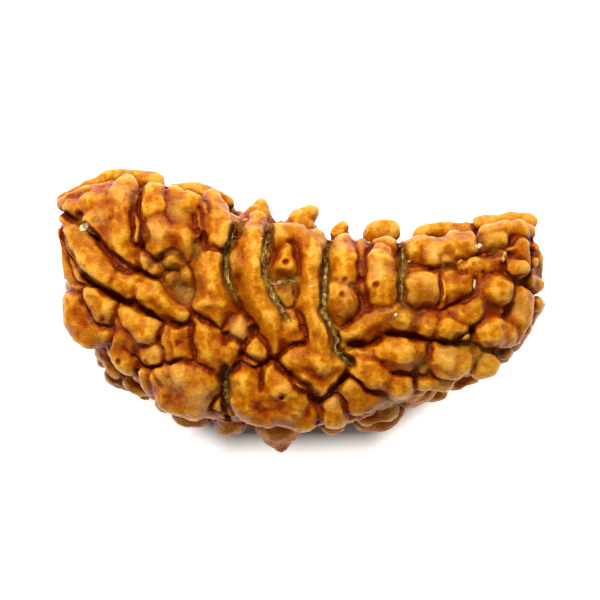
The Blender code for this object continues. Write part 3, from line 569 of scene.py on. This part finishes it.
def edges_at(x):
    """y of the hollow edge and of the round edge at x, in straight runs between stations."""
    if x <= STATIONS[0][0]:
        return STATIONS[0][1:]
    for (x0, top0, low0), (x1, top1, low1) in zip(STATIONS, STATIONS[1:]):
        if x <= x1:
            f = (x - x0) / (x1 - x0)
            return top0 + f * (top1 - top0), low0 + f * (low1 - low0)
    return STATIONS[-1][1:]


def half_thickness(x):
    reach = min(abs(x) / END_REACH, END_CAP)
    return HALF_THICKNESS * (1 - reach ** END_POWER) ** END_ROUNDING


def across(x, y):
    """Place across the bead, -1 at the round edge and 1 at the hollow edge."""
    top, low = edges_at(x)
    return (2 * y - top - low) / (top - low)


def root_height(x, y):
    """Height over the seam at which a lobe is rooted."""
    v = min(abs(across(x, y)), SECTION_CAP)
    return (half_thickness(x) - LOBE_LEVEL) * (1 - v ** SECTION_POWER) ** (1 / SECTION_POWER)


def deselect():
    for item in bpy.context.selected_objects:
        item.select_set(False)


def pick(item):
    deselect()
    item.select_set(True)
    bpy.context.view_layer.objects.active = item


def apply_modifier(item, kind, **settings):
    pick(item)
    modifier = item.modifiers.new(kind.lower(), kind)
    for name, value in settings.items():
        setattr(modifier, name, value)
    bpy.ops.object.modifier_apply(modifier=modifier.name)


def make_core():
    """The stone between its lobes: a sphere drawn out to the bead's plan and section."""
    deselect()
    bpy.ops.mesh.primitive_uv_sphere_add(segments=CORE_RINGS, ring_count=CORE_RINGS, radius=1,
                                         rotation=(0, math.pi / 2, 0))
    core = bpy.context.object
    bpy.ops.object.transform_apply(location=True, rotation=True, scale=True)
    end = STATIONS[-1][0] - GROOVE_LEVEL
    for vertex in core.data.vertices:
        x = end * vertex.co.x
        top, low = edges_at(x)
        a = math.atan2(vertex.co.z, vertex.co.y)
        full = 0.0 if abs(vertex.co.x) > POLE else 1.0
        reach_y, reach_z = [full * math.copysign(abs(part) ** (2 / SECTION_POWER), part)
                            for part in (math.cos(a), math.sin(a))]
        y = (top + low) / 2 + ((top - low) / 2 - GROOVE_LEVEL) * reach_y
        vertex.co = (x, y, (half_thickness(x) - GROOVE_LEVEL) * reach_z)
    return core


def smooth_run(run, step=PATH_STEP):
    """Points about one step apart on a smooth curve through a run of (place, half width)."""
    if len(run) == 1:
        place, radius = run[0]
        return [(place, radius), (place + Vector((DOT_LENGTH, 0, 0)), radius)]
    places = [run[0][0]] + [place for place, _ in run] + [run[-1][0]]
    smooth = []
    for i in range(1, len(places) - 2):
        p0, p1, p2, p3 = places[i - 1:i + 3]
        count = max(1, round((p2 - p1).length / step))
        for k in range(count):
            t = k / count
            bend = 2 * p1 + (p2 - p0) * t + (2 * p0 - 5 * p1 + 4 * p2 - p3) * t ** 2
            place = (bend + (3 * p1 - p0 - 3 * p2 + p3) * t ** 3) / 2
            smooth.append((place, run[i - 1][1] * (1 - t) + run[i][1] * t))
    smooth.append(run[-1])
    return smooth


def dome(end, inner):
    """Points that close a tube over its end, from the tip in."""
    place, radius = end
    way = (place - inner[0]).normalized()
    angles = [math.radians(degrees) for degrees in DOME_DEGREES]
    return [(place + way * radius * math.sin(a), radius * math.cos(a)) for a in angles]


def domed(path):
    return dome(path[0], path[1]) + path + dome(path[-1], path[-2])[::-1]


def add_tube(curve, path):
    """One more tube of a curve object, along a path of (place, half width)."""
    spline = curve.splines.new("POLY")
    spline.points.add(len(path) - 1)
    for point, (place, radius) in zip(spline.points, path):
        point.co = (*place, 1)
        point.radius = radius


def make_tubes(name, paths, sides):
    """A mesh of closed round tubes."""
    deselect()
    bpy.ops.curve.primitive_nurbs_path_add()
    item = bpy.context.object
    item.name = name
    curve = item.data
    curve.splines.clear()
    curve.dimensions = "3D"
    curve.bevel_depth = 1.0
    curve.bevel_resolution = sides // 2 - 2
    curve.use_fill_caps = True
    for path in paths:
        add_tube(curve, path)
    bpy.ops.object.convert(target="MESH")
    return bpy.context.object


def fill_at(x, y, radius):
    """How much a lobe is fattened, which is less where it would pass the outline."""
    top, low = edges_at(x)
    room = min(top - y, y - low, LONGEST - abs(x)) - radius
    return min(max(room, EDGE_FILL), FILL)


def on_face(run, side):
    """A run of (x, y, half width) rooted in the upper (1) or the lower (-1) half."""
    placed = []
    for x, y, radius in run:
        fill = fill_at(x, y, radius)
        height = max(root_height(x, y), SEAM_HALF_GAP + SEAM_STANDOFF * radius)
        height -= fill - (FACE_GROWTH - 1) * radius
        height += UNEVEN_CRESTS * noise.noise(Vector((x / CREST_WAVE, y / CREST_WAVE, side)))
        placed.append((Vector((x, y, side * height)), radius + fill))
    return placed


def turned_end_for_end(run, draw):
    """The same run on the lower face, with its ends swapped and each point nudged."""
    turned = []
    for x, y, radius in run:
        top, low = edges_at(-x)
        place = (top + low) / 2 + across(x, y) * (top - low) / 2
        nudge_x = draw.uniform(-BACK_SHIFT, BACK_SHIFT)
        nudge_y = draw.uniform(-BACK_SHIFT, BACK_SHIFT)
        size = radius * (1 + draw.uniform(-BACK_GROWTH, BACK_GROWTH))
        edge = size + EDGE_FILL
        turned_x = min(max(nudge_x - x, edge - LONGEST), LONGEST - edge)
        turned_y = min(max(place + nudge_y, low + edge), top - edge)
        turned.append((turned_x, turned_y, size))
    return turned


def walk_outline(offset):
    """Places one spacing apart round the plan, each with the direction along it."""
    hollow = [Vector((x, top, 0)) for x, top, _ in STATIONS]
    rounded = [Vector((x, low, 0)) for x, _, low in reversed(STATIONS)]
    corners = hollow + rounded
    ahead = offset
    for start, stop in zip(corners, corners[1:] + corners[:1]):
        length = (stop - start).length
        along = (stop - start) / length
        while ahead < length:
            yield start + along * ahead, along
            ahead += WALL_SPACING
        ahead -= length


def wall_lobes(draw):
    """Rows of lobes that cover the walls on both sides of the seam."""
    runs = []
    for row, (height, radius) in enumerate(WALL_ROWS):
        side = 1 if height > 0 else -1
        for place, along in walk_outline(WALL_SPACING * ROW_STAGGER * row):
            thick = half_thickness(place.x)
            level = height + draw.uniform(-LEVEL_NUDGE, LEVEL_NUDGE)
            size = radius * draw.uniform(*WALL_SIZES)
            slope = draw.uniform(-WALL_SLOPE, WALL_SLOPE)
            if abs(level) + WALL_ROOM * size > thick:
                continue
            out = Vector((-along.y, along.x, 0))
            reach = (1 - (abs(level) / thick) ** SECTION_POWER) ** (1 / SECTION_POWER)
            inset = WALL_INSET[side] + END_INSET * abs(place.x / END_REACH) ** END_INSET_POWER
            inset += (1 - reach) * thick
            centre = place - out * inset + along * draw.uniform(-ALONG_NUDGE, ALONG_NUDGE)
            centre.z = level
            stretch = (along + Vector((0, 0, slope))).normalized() * WALL_STRETCH
            runs.append([(centre - stretch, size), (centre + stretch, size * WALL_TAPER)])
    return runs


def plate_runs(draw):
    """The broad patches that fill in under grown-together lobes, on both faces."""
    runs = []
    for level, run in PLATES:
        for side, spots in ((1, run), (-1, turned_end_for_end(run, draw))):
            placed = []
            for x, y, radius in spots:
                height = root_height(x, y) + level + PLATE_LIFT - radius
                placed.append((Vector((x, y, side * height)), radius))
            runs.append(placed)
    return runs


def all_lobes():
    """Lobes of both faces and of the rim, and lobes of the walls. Each is a run of (place, half width)."""
    draw = random.Random(BACK_SEED)
    runs = []
    for run in UPPER_FACE:
        runs.append(on_face(run, 1))
        runs.append(on_face(turned_end_for_end(run, draw), -1))
    for run in RIM_LOBES:
        runs.append([(Vector((x, y, z)), radius + RIM_FILL) for x, y, z, radius in run])
    return runs, wall_lobes(draw)


def join(items):
    """One object made of several, in the first one's place."""
    pick(items[0])
    for item in items[1:]:
        item.select_set(True)
    bpy.ops.object.join()
    return items[0]


def make_lobed_stone(lobes):
    """The core and its lobes grown into one skin."""
    core = make_core()
    core = join([core, make_tubes("lobes", [domed(path) for path in lobes], LOBE_SIDES)])
    core.name = "bead"
    apply_modifier(core, "REMESH", mode="VOXEL", voxel_size=VOXEL)
    apply_modifier(core, "SMOOTH", factor=0.5, iterations=SOFTENING)
    return core


def read_points(mesh, what="co"):
    """One row per vertex: its place, or else its normal."""
    rows = np.empty(len(mesh.vertices) * 3)
    mesh.vertices.foreach_get(what, rows)
    return rows.reshape(-1, 3)


def write_points(mesh, points):
    mesh.vertices.foreach_set("co", points.ravel())
    mesh.update()


def gap_to_run(points, run):
    """Distance in plan from each point to a run of straight pieces."""
    nearest = np.full(len(points), 1e9)
    for (x0, y0), (x1, y1) in zip(run, run[1:]):
        start = np.array((x0, y0))
        along = np.array((x1 - x0, y1 - y0))
        part = np.clip((points[:, :2] - start) @ along / (along @ along), 0, 1)
        nearest = np.minimum(nearest, np.linalg.norm(points[:, :2] - start - part[:, None] * along, axis=1))
    return nearest


def painted_paper_glow(points):
    """How much the paper's painted glow lights it at each point: not under the bead, nor just past its round
    edge, where a painted contact shadow lies.
    """
    gap = gap_to_run(points, [(x, low) for x, _, low in STATIONS])
    glow = np.empty(len(points))
    for i, (x, y, _) in enumerate(points):
        top, low = edges_at(x)
        past = math.copysign(gap[i], low - y) + SHADE_SHARE * max(abs(x) - SHADE_REACH, 0)
        cover = min(top - COVER_INSET - y, COVER_END - abs(x)) / COVER_INSET
        glow[i] = max((past - GLOW_FROM) / (GLOW_FULL - GLOW_FROM), 1 - cover)
    return glow


def lobe_creases(points, lobes, walls_from, plates_from):
    """How close each point is to a crease between two lobes and to its flanks, from 0 to 1."""
    places = np.array([place for path in lobes for place, _ in path])
    widths = np.array([radius for path in lobes for _, radius in path])
    starts = np.cumsum([0] + [len(path) for path in lobes[:-1]])
    gaps = np.linalg.norm(places[:, None] - places[None], axis=2) - widths[:, None] - widths[None] + 2 * FILL
    gaps /= np.minimum(widths[:, None], widths[None]) - FILL
    meeting = np.minimum.reduceat(np.minimum.reduceat(gaps, starts, axis=0), starts, axis=1)
    apart = np.clip(TOUCHING_CREASE + OVERLAP_LOSS * meeting, 0, 1)
    for plate in range(plates_from, len(lobes)):
        joined = np.maximum(apart[plate][:, None], apart[plate][None])
        apart = np.minimum(apart, np.maximum(joined, SOFT_CREASE))
    wall = (np.arange(len(lobes)) >= walls_from) & (np.arange(len(lobes)) < plates_from)
    apart[np.ix_(wall, wall)] *= WALL_CREASE
    np.fill_diagonal(apart, 0)
    crease = np.zeros(len(points))
    flank = np.zeros(len(points))
    order = np.argsort(points[:, 0])
    for block in np.array_split(order, CREASE_BLOCKS):
        near = np.where((places[:, 0] > points[block, 0].min() - CREASE_REACH)
                        & (places[:, 0] < points[block, 0].max() + CREASE_REACH))[0]
        owner = np.searchsorted(starts, near, side="right") - 1
        first = np.flatnonzero(np.diff(owner, prepend=-1))
        reach = np.linalg.norm(points[block, None] - places[near], axis=2) - widths[near]
        reach = np.minimum.reduceat(reach, first, axis=1)
        names = owner[first]
        nearest = reach.argmin(axis=1)
        further = reach - reach[np.arange(len(block)), nearest][:, None]
        weight = apart[names[nearest]][:, names]
        crease[block] = (np.exp(-(further / CREASE_WIDTH) ** 2) * weight).max(axis=1)
        flank[block] = (np.exp(-(further / FLANK_WIDTH) ** 2) * weight).max(axis=1)
    return crease, flank


def open_creases(bead, lobes, walls_from, plates_from):
    """Presses a narrow crease and its broad flanks in where two lobes meet."""
    points = read_points(bead.data)
    normals = read_points(bead.data, "normal")
    crease, flank = lobe_creases(points, lobes, walls_from, plates_from)
    uneven = np.array([noise.noise(Vector(p) / CREASE_WAVE) for p in points])
    crease *= np.clip(CREASE_MEAN + CREASE_SWING * uneven, *CREASE_LIMITS)
    depth = CREASE_DEPTH * crease + FLANK_DEPTH * flank
    write_points(bead.data, points - normals * depth[:, None])
    give_trait(bead.data, "crease", crease)
    give_trait(bead.data, "flank", flank)


def carve(bead):
    """Deepens the cracks and pits of the upper face."""
    points = read_points(bead.data)
    normals = read_points(bead.data, "normal")
    upper = np.clip((points[:, 2] - CARVED_FROM) / CARVED_RAMP, 0, 1)
    upper = upper * np.clip(normals[:, 2] * FACING_GAIN + FACING_BASE, 0, 1)
    sink = np.zeros(len(points))
    wander = CRACK_WANDER * np.sin(points[:, 0] * WANDER_WAVES[0] + points[:, 1] * WANDER_WAVES[1])
    for run, half_width, depth in CRACKS:
        gap = gap_to_run(points, run) + wander
        sink = np.maximum(sink, CRACK_GROWTH * depth * np.exp(-(gap / half_width) ** 2 * CRACK_STEEPNESS))
    for x, y, radius, depth in PITS:
        gap = np.hypot(points[:, 0] - x, points[:, 1] - y)
        sink = np.maximum(sink, depth * np.exp(-(gap / radius) ** 2 * PIT_STEEPNESS))
    points[:, 2] -= sink * upper
    write_points(bead.data, points)
    give_trait(bead.data, "crack", sink * upper / FULL_CRACK)


def wear(bead):
    """A slow warp, then lumps, dents and wrinkles."""
    mesh = bead.data
    apply_modifier(bead, "SMOOTH", factor=0.5, iterations=LAST_SOFTENING)
    points = read_points(mesh)
    noise.seed_set(WARP_SEED)
    drift = np.array([noise.noise_vector(Vector(p) / WARP_SIZE) for p in points])
    write_points(mesh, points + drift * WARP)
    for size, height, octaves in LUMPS:
        points = read_points(mesh)
        normals = read_points(mesh, "normal")
        lift = [noise.fractal(Vector(p) / size, OCTAVE_FALL, OCTAVE_STEP, octaves) for p in points]
        write_points(mesh, points + normals * (np.array(lift) * height)[:, None])


def relief(mesh, rounds):
    """How far each vertex stands over (+) or under (-) the surface smoothed by that many rounds."""
    points = read_points(mesh)
    normals = read_points(mesh, "normal")
    pairs = np.empty(len(mesh.edges) * 2, dtype=np.int64)
    mesh.edges.foreach_get("vertices", pairs)
    pairs = pairs.reshape(-1, 2)
    ends = np.concatenate((pairs[:, 0], pairs[:, 1]))
    others = np.concatenate((pairs[:, 1], pairs[:, 0]))
    count = np.bincount(ends, minlength=len(points))[:, None]
    smooth = points.copy()
    for _ in range(rounds):
        total = np.stack([np.bincount(ends, smooth[others, k], len(points)) for k in range(3)], axis=1)
        smooth = 0.5 * smooth + 0.5 * total / count
    return ((points - smooth) * normals).sum(axis=1)


def give_trait(mesh, name, values):
    """Lets each vertex of a mesh carry a value, kept within 0 and 1."""
    trait = mesh.attributes.new(name, "FLOAT", "POINT")
    trait.data.foreach_set("value", np.clip(values, 0, 1).astype(np.float32))


def patches(points, places):
    """How much each point of the upper half belongs to any of the patches."""
    level = np.zeros(len(points))
    for x, y, radius in places:
        gap = np.hypot(points[:, 0] - x, points[:, 1] - y)
        level = np.maximum(level, np.clip(PATCH_FADE - gap / radius, 0, 1))
    return level * (points[:, 2] > 0)


def read_surface(bead):
    """Traits that the finish reads: the relief, and where brown with painted shade, pale skin and dust lie.
    """
    mesh = bead.data
    points = read_points(mesh)
    for name, (rounds, full) in (("height", BROAD_RELIEF), ("edge", FINE_RELIEF)):
        give_trait(mesh, name, 0.5 + relief(mesh, rounds) / full)
    normals = read_points(mesh, "normal")
    # Painted shade: walls under the round edge that face away from the lamp
    painted_shade_under = np.exp(-((points[:, 2] - UNDER_LEVEL) / UNDER_SPREAD) ** 2)
    painted_shade_under = painted_shade_under * np.clip(-UNDER_GAIN * normals[:, 1], 0, 1)
    give_trait(mesh, "brown", np.maximum(painted_shade_under, BROWN_SHARE * patches(points, BROWN_PATCHES)))
    give_trait(mesh, "pale", patches(points, PALE_PATCHES))
    dust = patches(points, DUST_PATCHES)
    for _, run in FIBRES:
        along = np.clip(DUST_FADE - gap_to_run(points, run) / DUST_REACH, 0, 1)
        dust = np.maximum(dust, along * (points[:, 2] > 0))
    give_trait(mesh, "dust", dust)


def place_in_frame(bead):
    """Moves the bead from its own millimetres to the frame, and cuts the flat spot it rests on."""
    mesh = bead.data
    points = read_points(mesh)
    low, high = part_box(NODE)
    centre = (points.min(axis=0) + points.max(axis=0)) / 2
    top = points[:, 2].max()
    shift = np.array(((low[0] + high[0]) / 2 / MM - centre[0], (low[1] + high[1]) / 2 / MM - centre[1],
                      high[2] / MM - top))
    write_points(mesh, (points + shift) * MM)
    pick(bead)
    bpy.ops.object.mode_set(mode="EDIT")
    bpy.ops.mesh.select_all(action="SELECT")
    bpy.ops.mesh.bisect(plane_co=(0, 0, 0), plane_no=(0, 0, 1), use_fill=True, clear_inner=True,
                        threshold=CUT_THRESHOLD)
    bpy.ops.mesh.select_all(action="DESELECT")
    bpy.ops.object.mode_set(mode="OBJECT")
    return shift


def stone_finish():
    finish = Finish("seed_stone")
    height, edge, crease, crack = [finish.trait(name) for name in ("height", "edge", "crease", "crack")]
    flank, brown, pale, dust = [finish.trait(name) for name in ("flank", "brown", "pale", "dust")]
    broad = finish.grain(2.2, 3.0)
    mottle = finish.grain(0.55, 4.0, 0.6, shift=(0.3, 0.1, 0.2))
    speck = finish.grain(0.14, 3.0, 0.6, shift=(0.1, 0.7, 0.4))
    # Relief lifts the ramp: painted shade in hollows and a painted highlight on crests, over the stone's own
    # mottled tone
    level = height * 0.92 + (edge - 0.5) * 0.45 + 0.03
    level = level + (mottle - 0.5) * 0.32 + (broad - 0.5) * 0.3 + (speck - 0.5) * 0.6
    colour = finish.add("ShaderNodeValToRGB", {"stops": STAIN_AND_PAINTED_LIGHT}, {0: level.held()})
    # Browns real patches, and paints shade on the walls under the round edge
    colour = finish.blend(brown * 0.75, colour, linear(BROWN_AND_SHADE))
    light = (pale * (height + 0.1) * (mottle * 2.4 + speck - 0.95)).held()
    colour = finish.blend(light, colour, linear(PALE_SKIN))
    dusty = (dust * (1.15 - height) * (mottle * 2.6 + speck * 1.4 - 1.3)).held()
    colour = finish.blend(dusty, colour, linear(DUST))
    dark_specks = ((speck - 0.56) * 5.0).held() * 0.5
    colour = finish.blend(dark_specks, colour, linear(DARK_SPECK))
    # Flanks by the creases darkened: the stone's own tone with painted shade
    flank_shade = (flank * (mottle + 0.35)).held() * 0.42
    colour = finish.blend(flank_shade, colour, linear(FLANK_TONE_AND_SHADE))
    # Creases darkened: their own dark with painted shade
    crease_shade = (crease * 1.2 - 0.15).held() * 0.7
    colour = finish.blend(crease_shade, colour, linear(CREASE_TONE_AND_SHADE))
    # Cracks and pits darkened: their own dark with painted shade
    colour = finish.blend((crack * 1.3).held() * 0.65, colour, linear(CRACK_TONE_AND_SHADE))
    roughness = 0.36 - height * 0.12 + (speck - 0.5) * 0.3
    finish.set(Base_Color=colour, Roughness=roughness.held())
    dents = mottle * 0.5 + speck * 0.35
    bump = finish.add("ShaderNodeBump", {}, {"Strength": 0.9, "Distance": 0.00015, "Height": dents})
    finish.set(Normal=bump, Specular_IOR_Level=0.2, Specular_Tint=(1.0, 0.64, 0.28, 1))
    return finish.material


def floor_finish():
    """Paper with a painted glow, an emission though it is no lamp, which fades out near the bead into a
    painted contact shadow.
    """
    finish = Finish("paper")
    glow = finish.trait("glow")
    fibre = finish.grain(1.5, 3.0)
    sheet = finish.blend(fibre * 0.3, linear(PAPER), linear(PAPER_FIBRE))
    # Where the painted glow fades, the paper turns to the painted shadow colour
    finish.set(Base_Color=finish.blend(glow, linear(PAINTED_SHADOW_PAPER), sheet), Roughness=0.9)
    finish.set(Emission_Color=finish.blend(glow, (0, 0, 0, 1), (1, 1, 1, 1)), Emission_Strength=0.8)
    return finish.material


def fibre_finish():
    finish = Finish("fibre")
    tone = finish.grain(0.35, 2.0, 0.5, shift=(0.4, 0.2, 0.9))
    finish.set(Base_Color=finish.add("ShaderNodeValToRGB", {"stops": FIBRE}, {0: tone}), Roughness=0.75)
    return finish.material


def fleck_finish():
    finish = Finish("fleck")
    tone = finish.grain(0.2, 2.0, 0.5)
    finish.set(Base_Color=finish.blend(tone, linear(CHIP), linear(PALE_CHIP)), Roughness=0.6)
    return finish.material


def lies_on_top(place, ground, shift):
    """Whether the stone's surface at a place in plan is well over the seam."""
    return ground(place.x + shift[0], place.y + shift[1]) > shift[2] + FIBRE_LOWEST


def groove_path(run):
    """Places one strand's step apart along a run of (x, y)."""
    return [place for place, _ in smooth_run([(Vector((x, y, 0)), 1.0) for x, y in run], STRAND_STEP)]


def strand(run, draw, ground, shift):
    """One thin dried thread that wanders along a groove just over its floor."""
    path = groove_path(run)
    first = draw.randint(0, len(path) // 2)
    last = draw.randint(first + len(path) // 3, len(path))
    path = path[first:last]
    phase = draw.uniform(0, FULL_TURN)
    pitch = draw.uniform(*STRAND_WAVES)
    sway = draw.uniform(*STRAND_SWAY)
    lift = draw.uniform(*STRAND_LIFT)
    seed = draw.uniform(0, 50)
    thread = []
    for i, place in enumerate(path):
        along = (path[min(i + 1, len(path) - 1)] - path[max(i - 1, 0)]).normalized()
        side = Vector((-along.y, along.x, 0))
        drift = sway * math.sin(phase + pitch * i * STRAND_STEP * FULL_TURN)
        drift += STRAND_DRIFT * noise.noise(Vector((i * 0.1, seed, 0)))
        thread.append(place + side * drift)
    thread = [place for place in thread if lies_on_top(place, ground, shift)]
    levels = [ground(place.x + shift[0], place.y + shift[1]) for place in thread]
    radius = draw.uniform(*STRAND_RADIUS)
    path = []
    for i, place in enumerate(thread):
        near = levels[max(0, i - 3):i + 4]
        level = max(sum(near) / len(near), levels[i] - 0.05)
        level += lift * (0.5 + noise.noise(Vector((i * 0.2, 0, seed))))
        path.append((Vector((place.x + shift[0], place.y + shift[1], level)), radius))
    return path


def hair(run, draw, ground, shift):
    """A short hair that crosses a groove at a slant."""
    place = draw.choice(groove_path(run))
    turn = draw.uniform(0, math.pi)
    half = Vector((math.cos(turn), math.sin(turn), 0)) * draw.uniform(*HAIR_REACH)
    start = place - half
    stop = place + half
    bend_x = draw.uniform(-HAIR_BEND, HAIR_BEND)
    bend_y = draw.uniform(-HAIR_BEND, HAIR_BEND)
    middle = place + Vector((bend_x, bend_y, 0))
    if not (lies_on_top(start, ground, shift) and lies_on_top(stop, ground, shift)):
        return []
    spots = []
    for spot, lift in zip((start, middle, stop), HAIR_LIFTS):
        x = spot.x + shift[0]
        y = spot.y + shift[1]
        spots.append((Vector((x, y, ground(x, y) + lift)), HAIR_RADIUS))
    return smooth_run(spots, HAIR_STEP)


def coat(item, material):
    """Gives a piece its one material, shaded smooth."""
    item.data.materials.clear()
    item.data.materials.append(material)
    item.data.shade_smooth()


def make_fibres(ground, shift):
    draw = random.Random(FIBRE_SEED)
    threads = []
    for count, run in FIBRES:
        for _ in range(count):
            threads.append(strand(run, draw, ground, shift))
    for _ in range(STRAY_HAIRS):
        threads.append(hair(draw.choice(FIBRES)[1], draw, ground, shift))
    fibres = make_tubes("fibres", [thread for thread in threads if len(thread) > 2], FIBRE_SIDES)
    write_points(fibres.data, read_points(fibres.data) * MM)
    coat(fibres, fibre_finish())
    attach(fibres, "root")


def make_flecks(ground, shift):
    chips = []
    for x, y, length, width, turn in FLECKS:
        deselect()
        bpy.ops.mesh.primitive_ico_sphere_add(subdivisions=3, radius=1)
        chip = bpy.context.object
        a = math.radians(turn)
        for vertex in chip.data.vertices:
            swell = noise.noise(vertex.co * FLECK_WAVES + Vector((x, y, 0)))
            co = vertex.co * (1 + FLECK_SWELL * swell)
            px = x + shift[0] + co.x * length * math.cos(a) - co.y * width * math.sin(a)
            py = y + shift[1] + co.x * length * math.sin(a) + co.y * width * math.cos(a)
            vertex.co = Vector((px, py, ground(px, py) + co.z * FLECK_HEIGHT)) * MM
        chips.append(chip)
    flecks = join(chips)
    flecks.name = "flecks"
    coat(flecks, fleck_finish())
    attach(flecks, "root")


def make_ground(bead):
    """A function that gives the height of the stone's upper surface at a place in plan."""
    mesh = bead.data
    points = [vertex.co / MM for vertex in mesh.vertices]
    tree = BVHTree.FromPolygons(points, [tuple(face.vertices) for face in mesh.polygons])

    def ground(x, y):
        place, _, _, _ = tree.ray_cast(Vector((x, y, 30)), Vector((0, 0, -1)))
        return place.z if place else 0.0

    return ground


def make_bead():
    face_runs, wall_runs = all_lobes()
    lobes = [smooth_run(run) for run in face_runs + wall_runs]
    plates = [smooth_run(run) for run in plate_runs(random.Random(BACK_SEED + 1))]
    bead = make_lobed_stone(lobes + plates)
    open_creases(bead, lobes + plates, len(face_runs), len(lobes))
    carve(bead)
    wear(bead)
    triangles = sum(len(face.vertices) - 2 for face in bead.data.polygons)
    apply_modifier(bead, "DECIMATE", ratio=min(1.0, TRIANGLES / triangles))
    read_surface(bead)
    shift = place_in_frame(bead)
    coat(bead, stone_finish())
    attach(bead, "root")
    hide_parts(NODE)
    return bead, shift


def make_floor(shift):
    """A wide sheet with finer cells near the bead, where its painted glow fades into a painted contact
    shadow.
    """
    deselect()
    bpy.ops.mesh.primitive_grid_add(x_subdivisions=FLOOR_CELLS, y_subdivisions=FLOOR_CELLS, size=FLOOR_FINE,
                                    location=(0, 0, 0))
    floor = bpy.context.object
    floor.name = "floor"
    points = read_points(floor.data)
    far = np.abs(points[:, :2]).max(axis=1)
    points[far > FLOOR_RIM] *= FLOOR_GROWTH
    points[:, 2] = FLOOR_LEVEL
    write_points(floor.data, points)
    give_trait(floor.data, "glow", painted_paper_glow(points / MM - np.array((shift[0], shift[1], 0))))
    floor.data.materials.append(floor_finish())


def light_scene():
    """Light from all round, and a lamp whose level 1 turns white paper straight under it white."""
    world = bpy.data.worlds.new("studio")
    bpy.context.scene.world = world
    world.use_nodes = True
    background = world.node_tree.nodes["Background"]
    background.inputs["Color"].default_value = ROUND_COLOUR
    background.inputs["Strength"].default_value = ROUND_STRENGTH
    lamp = bpy.data.lights.new("key", "AREA")
    lamp.shape = "DISK"
    lamp.size = KEY_SIZE
    lamp.energy = KEY_LEVEL * math.pi ** 2 * KEY_PLACE.length_squared
    lamp.color = KEY_COLOUR
    item = bpy.data.objects.new("key", lamp)
    bpy.context.scene.collection.objects.link(item)
    item.location = KEY_PLACE
    item.rotation_euler = (Vector((0, 0, KEY_AIM)) - KEY_PLACE).to_track_quat("-Z", "Y").to_euler()
    bpy.context.scene.view_settings.view_transform = "Standard"


def aim_camera():
    lens = bpy.data.cameras.new("view")
    lens.sensor_width = SENSOR
    lens.lens = SENSOR * VIEW_DISTANCE / VIEW_WIDTH
    lens.clip_start = 0.001
    lens.clip_end = 10.0
    camera = bpy.data.objects.new("view", lens)
    bpy.context.scene.collection.objects.link(camera)
    middle = cad_box[1][2] * VIEW_LEVEL / MM
    camera.location = (VIEW_CENTRE[0] * MM, VIEW_CENTRE[1] * MM, (middle + VIEW_DISTANCE) * MM)
    bpy.context.scene.camera = camera


bead, shift = make_bead()
ground = make_ground(bead)
make_fibres(ground, shift)
make_flecks(ground, shift)
make_floor(shift)
light_scene()
aim_camera()
